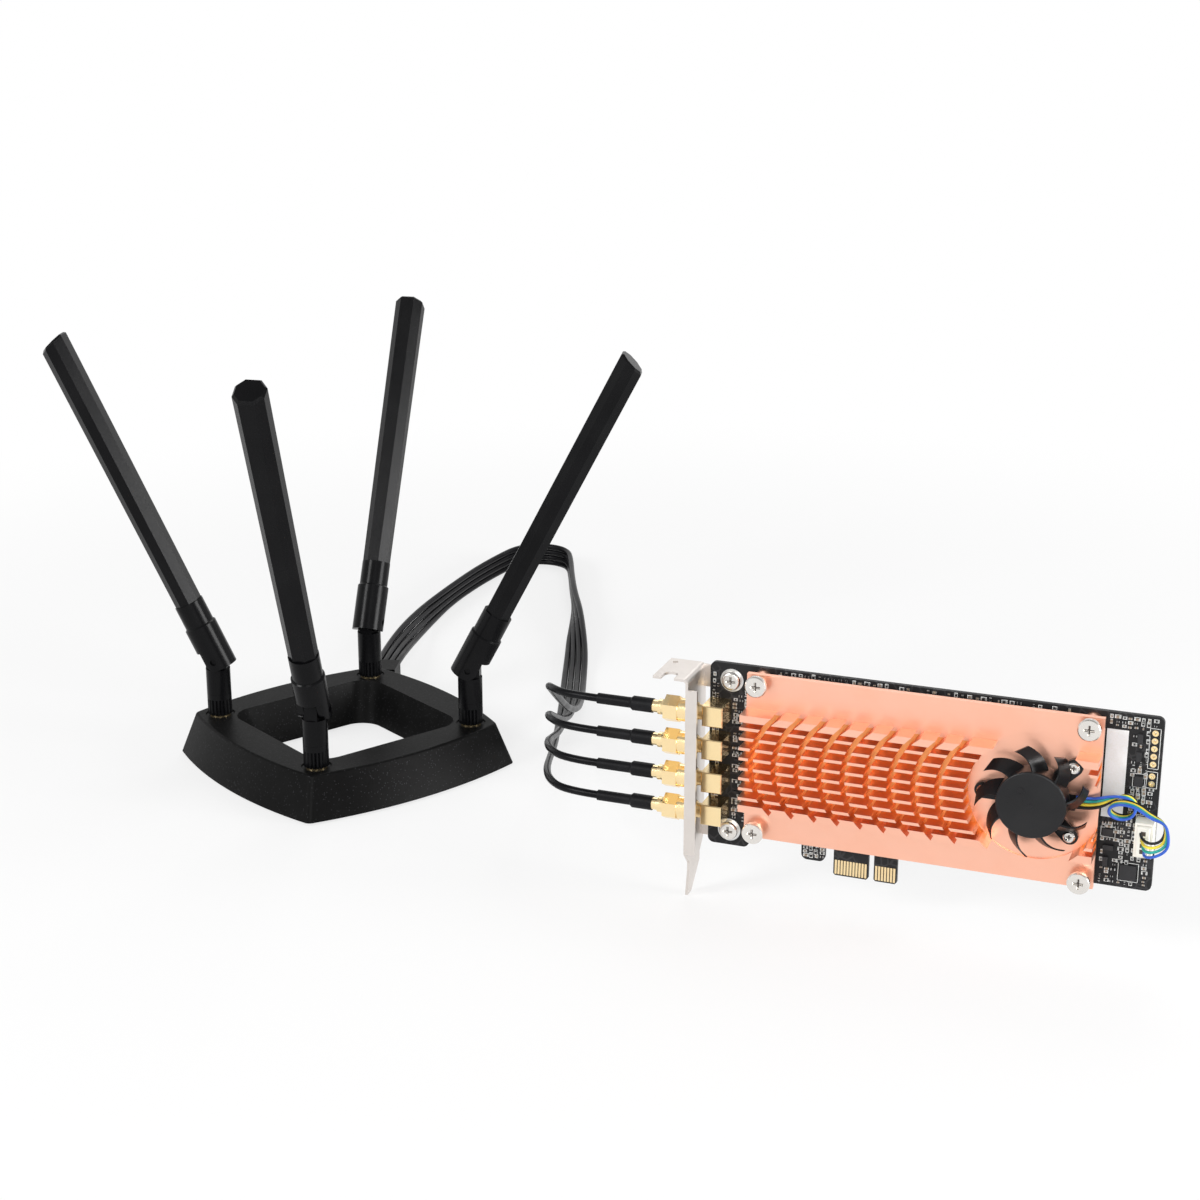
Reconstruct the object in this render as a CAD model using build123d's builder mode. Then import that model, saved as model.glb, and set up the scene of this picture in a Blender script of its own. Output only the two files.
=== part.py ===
from build123d import *
from math import atan2, cos, degrees, radians, sin, sqrt, tan
import os

# Wireless expansion card with four coax cables to an antenna dock that carries four tilting antennas.
# Row frame in millimetres: +X along the card away from its bracket, -Y towards the fan and heat sink,
# +Z up. The dock and the tip of the bracket stand on Z = 0, and the origin is under the middle of it all.

# Driving dimensions of the board
BOARD_X = 63.30             # left edge of the board
BOARD_Y = -69.09            # component face of the board
BOARD_Z = 12.0              # bottom of the edge connector above the floor
BOARD_LENGTH = 145.0
BOARD_THICKNESS = 1.6
BOARD_TOP = 68.9            # above the bottom of the edge connector, as all heights on the board
BOARD_BOTTOM = 11.2
BOARD_CORNER = 2.0
TAB_LENGTH = 14.3           # lower tab beside the bracket
TAB_BOTTOM = 5.0
HOOK_X = 32.4               # rounded retention tab
HOOK_LENGTH = 8.0
HOOK_BOTTOM = 4.0
TONGUE_X = 43.4             # edge connector, one lane
TONGUE_FIRST = 11.65
TONGUE_KEY = 1.9
TONGUE_SECOND = 7.65
TONGUE_CORNER = 0.6
CONTACT_PITCH = 1.0
CONTACT_WIDTH = 0.7
CONTACT_LENGTH = 5.0
CONTACT_THICKNESS = 0.1
CONTACT_EDGE = 0.5          # bare board below the contacts
CONTACTS_FIRST = 11
CONTACTS_SECOND = 7
PAD_INSET = 2.5             # plated holes, from the right end
PAD_TOP = 63.6
PAD_PITCH = 2.54
PAD_HOLE_RADIUS = 0.5
PAD_COUNT = 5
PAD_GAP = 3.9               # from the last of the five holes to the first of the two

# Driving dimensions of the bracket
SHEET = 0.86
BRACKET_X = -3.0            # middle of the sheet, from the board's left edge
BRACKET_FRONT = 15.2        # in front of the board's component face
BRACKET_WIDTH = 18.42
BRACKET_TOP = 67.1
BRACKET_BEND = 1.3
FLANGE_LENGTH = 11.6
NOTCH_WIDTH = 4.4
NOTCH_DEPTH = 5.6
NOTCH_X = 6.6               # from the plate to the middle of the notch
FLANGE_HOLE_RADIUS = 0.9
FLANGE_HOLE_INSET = 2.6     # from the flange's outer end
FLANGE_HOLE_BACK = 3.4      # from the bracket's back edge
LIP_WIDTH = 3.9
LIP_BOTTOM = 6.0
LIP_TOP = 63.4
TIP_FOLD = -1.5             # height where the lower end leans out
TIP_LEAN = 1.8
TIP_WIDTH = 4.0
TIP_SHOULDER = 10.4
TIP_SHOULDER_RISE = 3.0     # straight flank of the shoulder
EAR_LENGTH = 11.6
EAR_HEIGHT = 7.6
BRACKET_SCREW_X = 7.4
BRACKET_SCREW_LOW = 10.4
BRACKET_SCREW_HIGH = 63.2

# Driving dimensions of screws, by the radius of the shank
SCREW_SHANK = 1.4
SCREW_HOLE = 1.55
PAN_HEAD_RADIUS = 3.15
PAN_HEAD_HEIGHT = 1.9
RECESS_LENGTH = 3.4
RECESS_WIDTH = 0.8
RECESS_DEPTH = 0.9

# Driving dimensions of the heat sink
SINK_LEFT = 14.0
SINK_END_GAP = 17.2         # bare board at the right end
SINK_MIDDLE = 39.7          # height of its middle line, and of the fan's axis
SINK_WIDTH = 56.8
STANDOFF_HEIGHT = 3.0
STANDOFF_RADIUS = 2.9
SINK_THICKNESS = 2.0
FIN_HEIGHT = 7.5
FIN_THICKNESS = 1.0
FIN_PITCH = 3.46
FIN_COUNT = 8
EDGE_FIN_THICKNESS = 2.4
CHANNEL_PITCH = 7.6
CHANNEL_WIDTH = 1.7
CHANNEL_START = 110         # arc of a channel, in degrees about its own middle
CHANNEL_SWEEP = 140
SINK_SCREW_INSET_X = 4.0
SINK_SCREW_SPREAD = 51.0
SINK_SCREW_HEAD_RADIUS = 3.6
SINK_SCREW_HEAD_HEIGHT = 1.5
SINK_SCREW_SHOULDER_RADIUS = 2.3
SINK_SCREW_SHOULDER_HEIGHT = 2.8
SHIELD_HEIGHT = 2.2
SHIELD_LENGTH = 34.0
SHIELD_WIDTH = 30.0
SHIELD_CORNER = 1.0
SHIELD_SHARES = (0.28, 0.62)  # places along the heat sink
THERMAL_PAD_INSET = 2.0

# Driving dimensions of the fan
FAN_INSET = 19.6            # from the heat sink's right end to the fan's axis
FAN_POCKET_RADIUS = 21.0
FAN_POCKET_DEPTH = 0.6
FAN_BASE_RADIUS = 10.6
FAN_BASE_THICKNESS = 1.4
FAN_LUG_CIRCLE = 16.2
FAN_LUG_RADIUS = 2.7
FAN_LUG_ANGLES = (45, 180, 315)
FAN_EXIT_REACH = 12.6       # tab of the base that the wires leave
FAN_EXIT_WIDTH = 5.4
FAN_SCREW_SHANK = 0.9
FAN_SCREW_HEAD_RADIUS = 1.9
FAN_SCREW_HEAD_HEIGHT = 1.1
HUB_RADIUS = 11.0
HUB_WALL = 1.0
HUB_GAP = 0.5               # from the base to the rim of the hub
HUB_HEIGHT = 6.7
HUB_ROUND = 0.7
BLADE_COUNT = 9
BLADE_TIP_RADIUS = 17.6
BLADE_CHORD = 6.6
BLADE_THICKNESS = 0.7
BLADE_PITCH = 52
BLADE_SWEEP = 24
BLADE_TIP_SHRINK = 0.82     # tip chord over root chord
SHAFT_RADIUS = 1.0
SHAFT_CLEARANCE = 0.03
BEARING_WALL = 1.2
BEARING_TUBE_WALL = 0.9
BEARING_FLOOR = 0.6
BEARING_HEIGHT = 4.4
STATOR_RADIUS = 7.9
STATOR_POLES = 4
STATOR_SLOT_DEPTH = 3.3
STATOR_SLOT_WIDTH = 4.3
STATOR_HEIGHT = 3.2
MAGNET_THICKNESS = 1.3
MAGNET_HEIGHT = 4.4

# Driving dimensions of the fan's lead and connector
WIRE_DIAMETER = 0.9
WIRE_SPACING = 1.15
CORD_END_GAP = 0.05         # from the end of a cord to the face it meets
WIRES = {"blue": 1.5, "green": 0.5, "yellow": -0.5, "black": -1.5}
HEADER_INSET = 3.0          # from the right end to its middle
HEADER_MIDDLE = 30.2
HEADER_WIDTH = 5.6
HEADER_LENGTH = 11.4
HEADER_HEIGHT = 5.4
HEADER_WALL = 0.7
PLUG_CLEARANCE = 0.1
FAN_PLUG_HEIGHT = 6.4
FAN_PLUG_CHAMFER = 0.3
WIRE_HOLE_PITCH = 2.0

# Driving dimensions of the label
LABEL_GAP = 0.2             # from the heat sink's right end
LABEL_WIDTH = 6.6
LABEL_BOTTOM = 34.2
LABEL_LENGTH = 29.2
LABEL_THICKNESS = 0.1

# Driving dimensions of the coax jacks, plugs and cables
JACK_LOWEST = 18.5
JACK_PITCH = 11.55
JACK_COUNT = 4
JACK_AXIS = 6.0             # in front of the board
JACK_BLOCK = 7.0
JACK_BLOCK_LEFT = 0.3
JACK_CHAMFER = 0.3
JACK_NECK_RADIUS = 2.5
JACK_THREAD_RADIUS = 3.1
JACK_THREAD_END = -10.4
BRACKET_HOLE_RADIUS = 3.3
NUT_FLATS = 8.0
NUT_HEX_LENGTH = 4.8
NUT_ROUND_LENGTH = 4.3
NUT_ROUND_RADIUS = 3.85
NUT_FRONT = -3.9
NUT_BORE_CLEARANCE = 0.1
NUT_BACK_WALL = 1.0
PLUG_NECK_RADIUS = 2.1
PLUG_FLANGE_RADIUS = 2.9
FERRULE_RADIUS = 2.6
FERRULE_LENGTH = 2.4
FERRULE_RIM = 0.5
CRIMP_RADIUS = 2.1
CRIMP_LENGTH = 2.1
BOOT_THICK_RADIUS = 2.45
BOOT_THICK_LENGTH = 7.0
BOOT_THIN_RADIUS = 1.8
BOOT_THIN_LENGTH = 12.5
BOOT_STEP = 0.8
COAX_DIAMETER = 2.6
COAX_SPACING = 2.7
RUN_SHARE = 0.45            # of a run between two stops that each of its arcs may take

# Driving dimensions of the antenna dock
DOCK_X = -103.70
DOCK_Y = -8.69
DOCK_TURN = 15.2            # direction of the corner nearest the card
DOCK_HEIGHT = 16.6
DOCK_BASE_CORNER = 65.4     # from the middle to a corner, at the floor
DOCK_TOP_CORNER = 58.9
DOCK_BASE_BULGE = 6.2       # how far a side bows out
DOCK_TOP_BULGE = 5.4
DOCK_WALL = 2.2
DOCK_EDGE_ROUND = 1.0
DOCK_CORNER_ROUND = 3.0
WELL_BASE = 27.8            # half width of the opening
WELL_TOP = 32.4
WELL_CORNER = 9.0
FOOT_PROUD = 0.6
FOOT_RADIUS = 4.5
FOOT_CIRCLE = 51.0
COVER_THICKNESS = 1.6
COVER_CLEARANCE = 0.25
SOCKET_CIRCLE = 49.0
SOCKET_COLLAR_RADIUS = 3.9
SOCKET_COLLAR_HEIGHT = 0.7
SOCKET_THREAD_RADIUS = 3.1
SOCKET_RISE = 5.4
SOCKET_NUT_FLATS = 8.0
SOCKET_NUT_HEIGHT = 2.4
SOCKET_CLEARANCE = 0.1
DISH_RADIUS = 5.6
DISH_DEPTH = 0.4
DOCK_SCREW_RADIUS = 1.3
DOCK_SCREW_HEAD = 2.4
DOCK_SCREW_LENGTH = 6.0
DOCK_POST_RADIUS = 3.4
DOCK_SCREW_CIRCLE = 41.0
EXIT_WIDTH = 15.0           # block on the back corner that the cables leave
EXIT_ROOT = 61.5            # where the block starts inside the corner of the ring
EXIT_REACH = 73.5           # from the middle of the dock to the face of the block
EXIT_TOP = 14.4
EXIT_BOTTOM = 4.0

# Driving dimensions of an antenna, upwards from the dock and then outwards from the hinge pin
KNURL_RADIUS = 4.65
KNURL_TOP = 8.9
KNURL_RIBBED = 6.2          # ribbed part of the nut's height
KNURL_TEETH = 20
KNURL_DEPTH = 0.35
STEM_RADIUS = 4.65
STEM_HEIGHT = 9.7
STEM_GAP = 0.05
SPIGOT_RADIUS = 2.4
SPIGOT_LENGTH = 2.2
SPIGOT_FLANGE = 2.9
SPIGOT_FLANGE_HEIGHT = 0.8
SPIGOT_CLEARANCE = 0.05
TONGUE_THICKNESS = 5.0
TONGUE_REACH = 4.0          # from the stem's shoulder to the pin, and the round top's radius
HINGE_SIDE_GAP = 0.2
HINGE_END_GAP = 0.3
PIN_RADIUS = 1.2
PIN_CLEARANCE = 0.05
PIN_RECESS = 1.0
SLEEVE_RADIUS = 6.2
SLEEVE_LENGTH = 14.8        # above the pin
SLEEVE_CHAMFER = 0.5
COLLAR_RADIUS = 5.6
COLLAR_LENGTH = 9.4
PLUG_IN_RADIUS = 4.6        # spigot of the blade inside the sleeve
PLUG_IN_LENGTH = 4.5
PLUG_IN_CLEARANCE = 0.05
BLADE_LENGTH = 133.8        # from the pin to the middle of the end face
BLADE_FOOT_WIDTH = 10.3
BLADE_FOOT_DEPTH = 9.4
BLADE_HEAD_WIDTH = 11.5
BLADE_HEAD_DEPTH = 9.8
BLADE_FACET = 2.9
BLADE_HEAD_CHAMFER = 0.8
BLADE_HEAD_SLOPE = 20       # the end face falls away to the outer side
# corner of the dock, tilt from upright and turn of the tilt's direction away from that corner
ANTENNAS = {1: (180, 24.4, 0.0), 2: (270, 19.5, -8.0), 3: (0, 27.4, 0.0), 4: (90, 28.0, -8.0)}

# Planes that carry the sub-assemblies: a plane's own z is the height above the board or the dock
board = Plane((BOARD_X, BOARD_Y, BOARD_Z), x_dir=(1, 0, 0), z_dir=(0, -1, 0))
dock_direction = (cos(radians(DOCK_TURN)), sin(radians(DOCK_TURN)), 0)
dock = Plane((DOCK_X, DOCK_Y, 0), x_dir=dock_direction, z_dir=(0, 0, 1))

TONGUE_LENGTH = TONGUE_FIRST + TONGUE_KEY + TONGUE_SECOND
SINK_RIGHT = BOARD_LENGTH - SINK_END_GAP
FAN_X = SINK_RIGHT - FAN_INSET
HEADER_X = BOARD_LENGTH - HEADER_INSET
SINK_FACE = STANDOFF_HEIGHT + SINK_THICKNESS
FIN_TOP = SINK_FACE + FIN_HEIGHT
POCKET_FLOOR = SINK_FACE - FAN_POCKET_DEPTH
SINK_SCREW_PLACES = [
    (x, SINK_MIDDLE + side * SINK_SCREW_SPREAD / 2)
    for x in (SINK_LEFT + SINK_SCREW_INSET_X, SINK_RIGHT - SINK_SCREW_INSET_X)
    for side in (-1, 1)
]
BRACKET_SCREW_PLACES = [(BRACKET_SCREW_X, BRACKET_SCREW_LOW), (BRACKET_SCREW_X, BRACKET_SCREW_HIGH)]
JACK_HEIGHTS = [JACK_LOWEST + JACK_PITCH * (JACK_COUNT - 1 - n) for n in range(JACK_COUNT)]
board_end = Plane(board.from_local_coords(Vector(BOARD_LENGTH, 0, 0)), x_dir=(1, 0, 0), z_dir=(0, -1, 0))
fan_seat = board.from_local_coords(Vector(FAN_X, SINK_MIDDLE, POCKET_FLOOR))
fan = Plane(fan_seat, x_dir=(1, 0, 0), z_dir=(0, -1, 0))
FAN_LUG_PLACES = [
    (FAN_LUG_CIRCLE * cos(radians(a)), FAN_LUG_CIRCLE * sin(radians(a))) for a in FAN_LUG_ANGLES
]

os.makedirs("parts", exist_ok=True)


def save(piece, name):
    """Label a finished piece and write it."""
    piece.part.label = name
    export_step(piece.part, f"parts/{name}.step")


def upright(base, turn=0.0):
    """Plane that holds a half profile: its x is the radius and its y is the base's own z."""
    side = base.rotated((0, 0, turn))
    return Plane(base.origin, x_dir=side.x_dir, z_dir=-side.y_dir)


def cross_recess(plane, places, length=RECESS_LENGTH):
    """Cross recesses of screws whose heads end on the plane, as a sketch to cut down from it."""
    with BuildSketch(plane) as recess:
        with Locations(*places):
            Rectangle(length, RECESS_WIDTH)
            Rectangle(RECESS_WIDTH, length)
    return recess.sketch


# Circuit board with its tongue, hook, lower tab and holes
with BuildPart() as pcb:
    with BuildSketch(board.offset(-BOARD_THICKNESS)) as outline:
        with Locations((0, BOARD_BOTTOM)):
            Rectangle(BOARD_LENGTH, BOARD_TOP - BOARD_BOTTOM, align=(Align.MIN, Align.MIN))
        for x, low, length in (
            (0, TAB_BOTTOM, TAB_LENGTH),
            (HOOK_X, HOOK_BOTTOM, HOOK_LENGTH),
            (TONGUE_X, 0, TONGUE_FIRST),
            (TONGUE_X + TONGUE_FIRST + TONGUE_KEY, 0, TONGUE_SECOND),
        ):
            with Locations((x, low)):
                Rectangle(length, BOARD_BOTTOM - low + BOARD_CORNER, align=(Align.MIN, Align.MIN))
        corners = [
            (0, BOARD_TOP),
            (BOARD_LENGTH, BOARD_TOP),
            (BOARD_LENGTH, BOARD_BOTTOM),
            (0, TAB_BOTTOM),
            (TAB_LENGTH, TAB_BOTTOM),
            (HOOK_X, HOOK_BOTTOM),
            (HOOK_X + HOOK_LENGTH, HOOK_BOTTOM),
        ]
        fillet([outline.vertices().sort_by_distance(c)[0] for c in corners], BOARD_CORNER)
        ends = [
            (TONGUE_X, 0),
            (TONGUE_X + TONGUE_FIRST, 0),
            (TONGUE_X + TONGUE_FIRST + TONGUE_KEY, 0),
            (TONGUE_X + TONGUE_LENGTH, 0),
        ]
        chamfer([outline.vertices().sort_by_distance(c)[0] for c in ends], TONGUE_CORNER)
        with Locations(*BRACKET_SCREW_PLACES, *SINK_SCREW_PLACES):
            Circle(SCREW_HOLE, mode=Mode.SUBTRACT)
        pad_rows = [PAD_TOP - PAD_PITCH * n for n in range(PAD_COUNT)]
        pad_rows += [pad_rows[-1] - PAD_GAP, pad_rows[-1] - PAD_GAP - PAD_PITCH]
        with Locations(*[(BOARD_LENGTH - PAD_INSET, height) for height in pad_rows]):
            Circle(PAD_HOLE_RADIUS, mode=Mode.SUBTRACT)
    extrude(amount=BOARD_THICKNESS)
save(pcb, "pcb")

# Gold contacts on both faces of the tongue
with BuildPart() as edge_contacts:
    for face in (board, board.offset(-BOARD_THICKNESS - CONTACT_THICKNESS)):
        with BuildSketch(face):
            for start, width, count in (
                (TONGUE_X, TONGUE_FIRST, CONTACTS_FIRST),
                (TONGUE_X + TONGUE_FIRST + TONGUE_KEY, TONGUE_SECOND, CONTACTS_SECOND),
            ):
                with Locations((start + width / 2, CONTACT_EDGE + CONTACT_LENGTH / 2)):
                    with GridLocations(CONTACT_PITCH, CONTACT_LENGTH, count, 1):
                        Rectangle(CONTACT_WIDTH, CONTACT_LENGTH)
        extrude(amount=CONTACT_THICKNESS)
save(edge_contacts, "edge_contacts")

# Slot bracket, folded from one sheet: a bent strip trimmed to its outline, with a lip and two ears
BRACKET_BACK = BRACKET_FRONT - BRACKET_WIDTH
FLANGE_END = BRACKET_X - FLANGE_LENGTH
TIP_BOTTOM = -BOARD_Z
side_view = Plane(board.from_local_coords(Vector(0, 0, BRACKET_FRONT)), x_dir=(1, 0, 0), z_dir=(0, 1, 0))
end_view = Plane(board.origin, x_dir=(0, 1, 0), z_dir=(1, 0, 0))
with BuildPart() as bracket:
    with BuildSketch(Plane(side_view.origin, x_dir=(1, 0, 0), z_dir=(0, -1, 0))):
        with BuildLine():
            FilletPolyline(
                (FLANGE_END, BRACKET_TOP - SHEET / 2),
                (BRACKET_X, BRACKET_TOP - SHEET / 2),
                (BRACKET_X, TIP_FOLD),
                (BRACKET_X - TIP_LEAN, TIP_BOTTOM - SHEET),
                radius=BRACKET_BEND,
            )
        trace(line_width=SHEET)
    extrude(amount=-BRACKET_WIDTH)
    with BuildSketch(end_view):
        middle = (BRACKET_BACK + BRACKET_FRONT) / 2
        with BuildLine():
            Polyline(
                (-BRACKET_FRONT, BRACKET_TOP),
                (-BRACKET_FRONT, LIP_BOTTOM),
                (-middle - TIP_SHOULDER / 2, TIP_FOLD + TIP_SHOULDER_RISE),
                (-middle - TIP_SHOULDER / 2, TIP_FOLD),
                (-middle - TIP_WIDTH / 2, TIP_BOTTOM),
                (-middle + TIP_WIDTH / 2, TIP_BOTTOM),
                (-middle + TIP_SHOULDER / 2, TIP_FOLD),
                (-middle + TIP_SHOULDER / 2, TIP_FOLD + TIP_SHOULDER_RISE),
                (-BRACKET_BACK, LIP_BOTTOM),
                (-BRACKET_BACK, BRACKET_TOP),
                close=True,
            )
        make_face()
        with Locations(*[(-JACK_AXIS, height) for height in JACK_HEIGHTS]):
            Circle(BRACKET_HOLE_RADIUS, mode=Mode.SUBTRACT)
    extrude(amount=2 * FLANGE_LENGTH, both=True, mode=Mode.INTERSECT)
    with BuildSketch(Plane(board.origin, x_dir=(1, 0, 0), z_dir=(0, 0, 1)).offset(BRACKET_TOP - SHEET)):
        with Locations((BRACKET_X - NOTCH_X, -BRACKET_FRONT)):
            SlotCenterToCenter(2 * (NOTCH_DEPTH - NOTCH_WIDTH / 2), NOTCH_WIDTH, rotation=90)
        with Locations((FLANGE_END + FLANGE_HOLE_INSET, -BRACKET_BACK - FLANGE_HOLE_BACK)):
            Circle(FLANGE_HOLE_RADIUS)
    extrude(amount=SHEET, mode=Mode.SUBTRACT)
    with BuildSketch(board.offset(BRACKET_FRONT - SHEET)):
        with Locations((BRACKET_X - SHEET / 2, LIP_BOTTOM)):
            Rectangle(LIP_WIDTH, LIP_TOP - LIP_BOTTOM, align=(Align.MIN, Align.MIN))
    extrude(amount=SHEET)
    with BuildSketch(board.offset(-BOARD_THICKNESS - SHEET)):
        with Locations(*[(BRACKET_X, height) for _, height in BRACKET_SCREW_PLACES]):
            Rectangle(EAR_LENGTH - BRACKET_X, EAR_HEIGHT, align=(Align.MIN, Align.CENTER))
        with Locations(*BRACKET_SCREW_PLACES):
            Circle(SCREW_HOLE, mode=Mode.SUBTRACT)
    extrude(amount=SHEET)
save(bracket, "bracket")

# Two pan head screws that hold the board to the bracket's ears
with BuildPart() as bracket_screws:
    with BuildSketch(board):
        with Locations(*BRACKET_SCREW_PLACES):
            Circle(PAN_HEAD_RADIUS)
    extrude(amount=PAN_HEAD_HEIGHT)
    fillet(bracket_screws.faces().group_by(Axis.Y)[0].edges(), PAN_HEAD_HEIGHT / 2)
    with BuildSketch(board):
        with Locations(*BRACKET_SCREW_PLACES):
            Circle(SCREW_SHANK)
    extrude(amount=-BOARD_THICKNESS - SHEET)
    recess = cross_recess(board.offset(PAN_HEAD_HEIGHT), BRACKET_SCREW_PLACES)
    extrude(recess, amount=-RECESS_DEPTH, mode=Mode.SUBTRACT)
save(bracket_screws, "bracket_screws")

# Heat sink: an extruded plate with fins, cut across by curved channels and a round pocket for the fan
FIN_SPAN = FIN_PITCH * (FIN_COUNT + 1)
FINNED_LENGTH = FAN_X - FAN_POCKET_RADIUS - CHANNEL_WIDTH - SINK_LEFT
CHANNEL_COUNT = int(FINNED_LENGTH / CHANNEL_PITCH)
with BuildPart() as heat_sink:
    with BuildSketch(board.offset(STANDOFF_HEIGHT)):
        with Locations((SINK_LEFT, SINK_MIDDLE)):
            Rectangle(SINK_RIGHT - SINK_LEFT, SINK_WIDTH, align=(Align.MIN, Align.CENTER))
        with Locations(*SINK_SCREW_PLACES):
            Circle(SCREW_HOLE, mode=Mode.SUBTRACT)
    extrude(amount=SINK_THICKNESS)
    with BuildSketch(board.offset(SINK_FACE)):
        with Locations(((SINK_LEFT + SINK_RIGHT) / 2, SINK_MIDDLE)):
            with GridLocations(FIN_PITCH, FIN_PITCH, 1, FIN_COUNT):
                Rectangle(SINK_RIGHT - SINK_LEFT, FIN_THICKNESS)
            with GridLocations(FIN_SPAN, FIN_SPAN, 1, 2):
                Rectangle(SINK_RIGHT - SINK_LEFT, EDGE_FIN_THICKNESS)
        for n in range(1, CHANNEL_COUNT + 1):
            with BuildLine():
                CenterArc(
                    (FAN_X - n * CHANNEL_PITCH, SINK_MIDDLE),
                    FAN_POCKET_RADIUS + CHANNEL_WIDTH / 2,
                    CHANNEL_START,
                    CHANNEL_SWEEP,
                )
            trace(line_width=CHANNEL_WIDTH, mode=Mode.SUBTRACT)
        with Locations((FAN_X, SINK_MIDDLE)):
            Circle(FAN_POCKET_RADIUS, mode=Mode.SUBTRACT)
    extrude(amount=FIN_HEIGHT)
    with BuildSketch(board.offset(POCKET_FLOOR)):
        with Locations((FAN_X, SINK_MIDDLE)):
            Circle(FAN_POCKET_RADIUS)
    extrude(amount=FAN_POCKET_DEPTH, mode=Mode.SUBTRACT)
    with BuildSketch(fan):
        with Locations(*FAN_LUG_PLACES):
            Circle(FAN_SCREW_SHANK)
    extrude(amount=-SINK_THICKNESS, mode=Mode.SUBTRACT)
save(heat_sink, "heat_sink")

# Four round spacers that carry the heat sink
with BuildPart() as standoffs:
    with BuildSketch(board):
        with Locations(*SINK_SCREW_PLACES):
            Circle(STANDOFF_RADIUS)
            Circle(SCREW_HOLE, mode=Mode.SUBTRACT)
    extrude(amount=STANDOFF_HEIGHT)
save(standoffs, "standoffs")

# Four flat head shoulder screws of the heat sink
SINK_SCREW_TOP = SINK_FACE + SINK_SCREW_SHOULDER_HEIGHT + SINK_SCREW_HEAD_HEIGHT
with BuildPart() as heat_sink_screws:
    for radius, low, high in (
        (SCREW_SHANK, -BOARD_THICKNESS, SINK_FACE),
        (SINK_SCREW_SHOULDER_RADIUS, SINK_FACE, SINK_SCREW_TOP - SINK_SCREW_HEAD_HEIGHT),
        (SINK_SCREW_HEAD_RADIUS, SINK_SCREW_TOP - SINK_SCREW_HEAD_HEIGHT, SINK_SCREW_TOP),
    ):
        with BuildSketch(board.offset(low)):
            with Locations(*SINK_SCREW_PLACES):
                Circle(radius)
        extrude(amount=high - low)
    chamfer(heat_sink_screws.faces().group_by(Axis.Y)[0].edges(), SINK_SCREW_HEAD_HEIGHT / 4)
    recess = cross_recess(board.offset(SINK_SCREW_TOP), SINK_SCREW_PLACES)
    extrude(recess, amount=-RECESS_DEPTH, mode=Mode.SUBTRACT)
save(heat_sink_screws, "heat_sink_screws")

# Screened radio sections on the board, and the pads that carry their heat to the sink
SHIELD_PLACES = [
    (SINK_LEFT + (SINK_RIGHT - SINK_LEFT) * share, SINK_MIDDLE) for share in SHIELD_SHARES
]
with BuildPart() as radio_shields:
    with BuildSketch(board):
        with Locations(*SHIELD_PLACES):
            RectangleRounded(SHIELD_LENGTH, SHIELD_WIDTH, SHIELD_CORNER)
    extrude(amount=SHIELD_HEIGHT)
save(radio_shields, "radio_shields")

with BuildPart() as thermal_pads:
    with BuildSketch(board.offset(SHIELD_HEIGHT)):
        with Locations(*SHIELD_PLACES):
            Rectangle(SHIELD_LENGTH - 2 * THERMAL_PAD_INSET, SHIELD_WIDTH - 2 * THERMAL_PAD_INSET)
    extrude(amount=STANDOFF_HEIGHT - SHIELD_HEIGHT)
save(thermal_pads, "thermal_pads")

# Fixed half of the fan: base with a bearing tube and three lugs
TUBE_RADIUS = SHAFT_RADIUS + SHAFT_CLEARANCE + BEARING_WALL
with BuildPart() as fan_base:
    with BuildSketch(fan):
        Circle(FAN_BASE_RADIUS)
        for x, y in FAN_LUG_PLACES:
            with Locations((x / 2, y / 2)):
                Rectangle(FAN_LUG_CIRCLE, 2 * FAN_LUG_RADIUS, rotation=degrees(atan2(y, x)))
            with Locations((x, y)):
                Circle(FAN_LUG_RADIUS)
        Rectangle(FAN_EXIT_REACH, FAN_EXIT_WIDTH, align=(Align.MIN, Align.CENTER))
        with Locations(*FAN_LUG_PLACES):
            Circle(FAN_SCREW_SHANK, mode=Mode.SUBTRACT)
    extrude(amount=FAN_BASE_THICKNESS)
    with BuildSketch(fan):
        Circle(TUBE_RADIUS + BEARING_TUBE_WALL)
    extrude(amount=BEARING_FLOOR + BEARING_HEIGHT)
    with BuildSketch(fan.offset(BEARING_FLOOR)):
        Circle(TUBE_RADIUS)
    extrude(amount=BEARING_HEIGHT, mode=Mode.SUBTRACT)
save(fan_base, "fan_base")

# Bush that the shaft runs in
with BuildPart() as fan_bearing:
    with BuildSketch(fan.offset(BEARING_FLOOR)):
        Circle(TUBE_RADIUS)
        Circle(SHAFT_RADIUS + SHAFT_CLEARANCE, mode=Mode.SUBTRACT)
    extrude(amount=BEARING_HEIGHT)
save(fan_bearing, "fan_bearing")

# Coil core with its poles around the bearing tube
with BuildPart() as fan_stator:
    with BuildSketch(fan.offset(FAN_BASE_THICKNESS)):
        Circle(STATOR_RADIUS)
        with PolarLocations((STATOR_RADIUS + TUBE_RADIUS) / 2, STATOR_POLES, start_angle=180 / STATOR_POLES):
            Rectangle(STATOR_SLOT_DEPTH, STATOR_SLOT_WIDTH, mode=Mode.SUBTRACT)
        Circle(TUBE_RADIUS + BEARING_TUBE_WALL, mode=Mode.SUBTRACT)
    extrude(amount=STATOR_HEIGHT)
save(fan_stator, "fan_stator")

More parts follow.
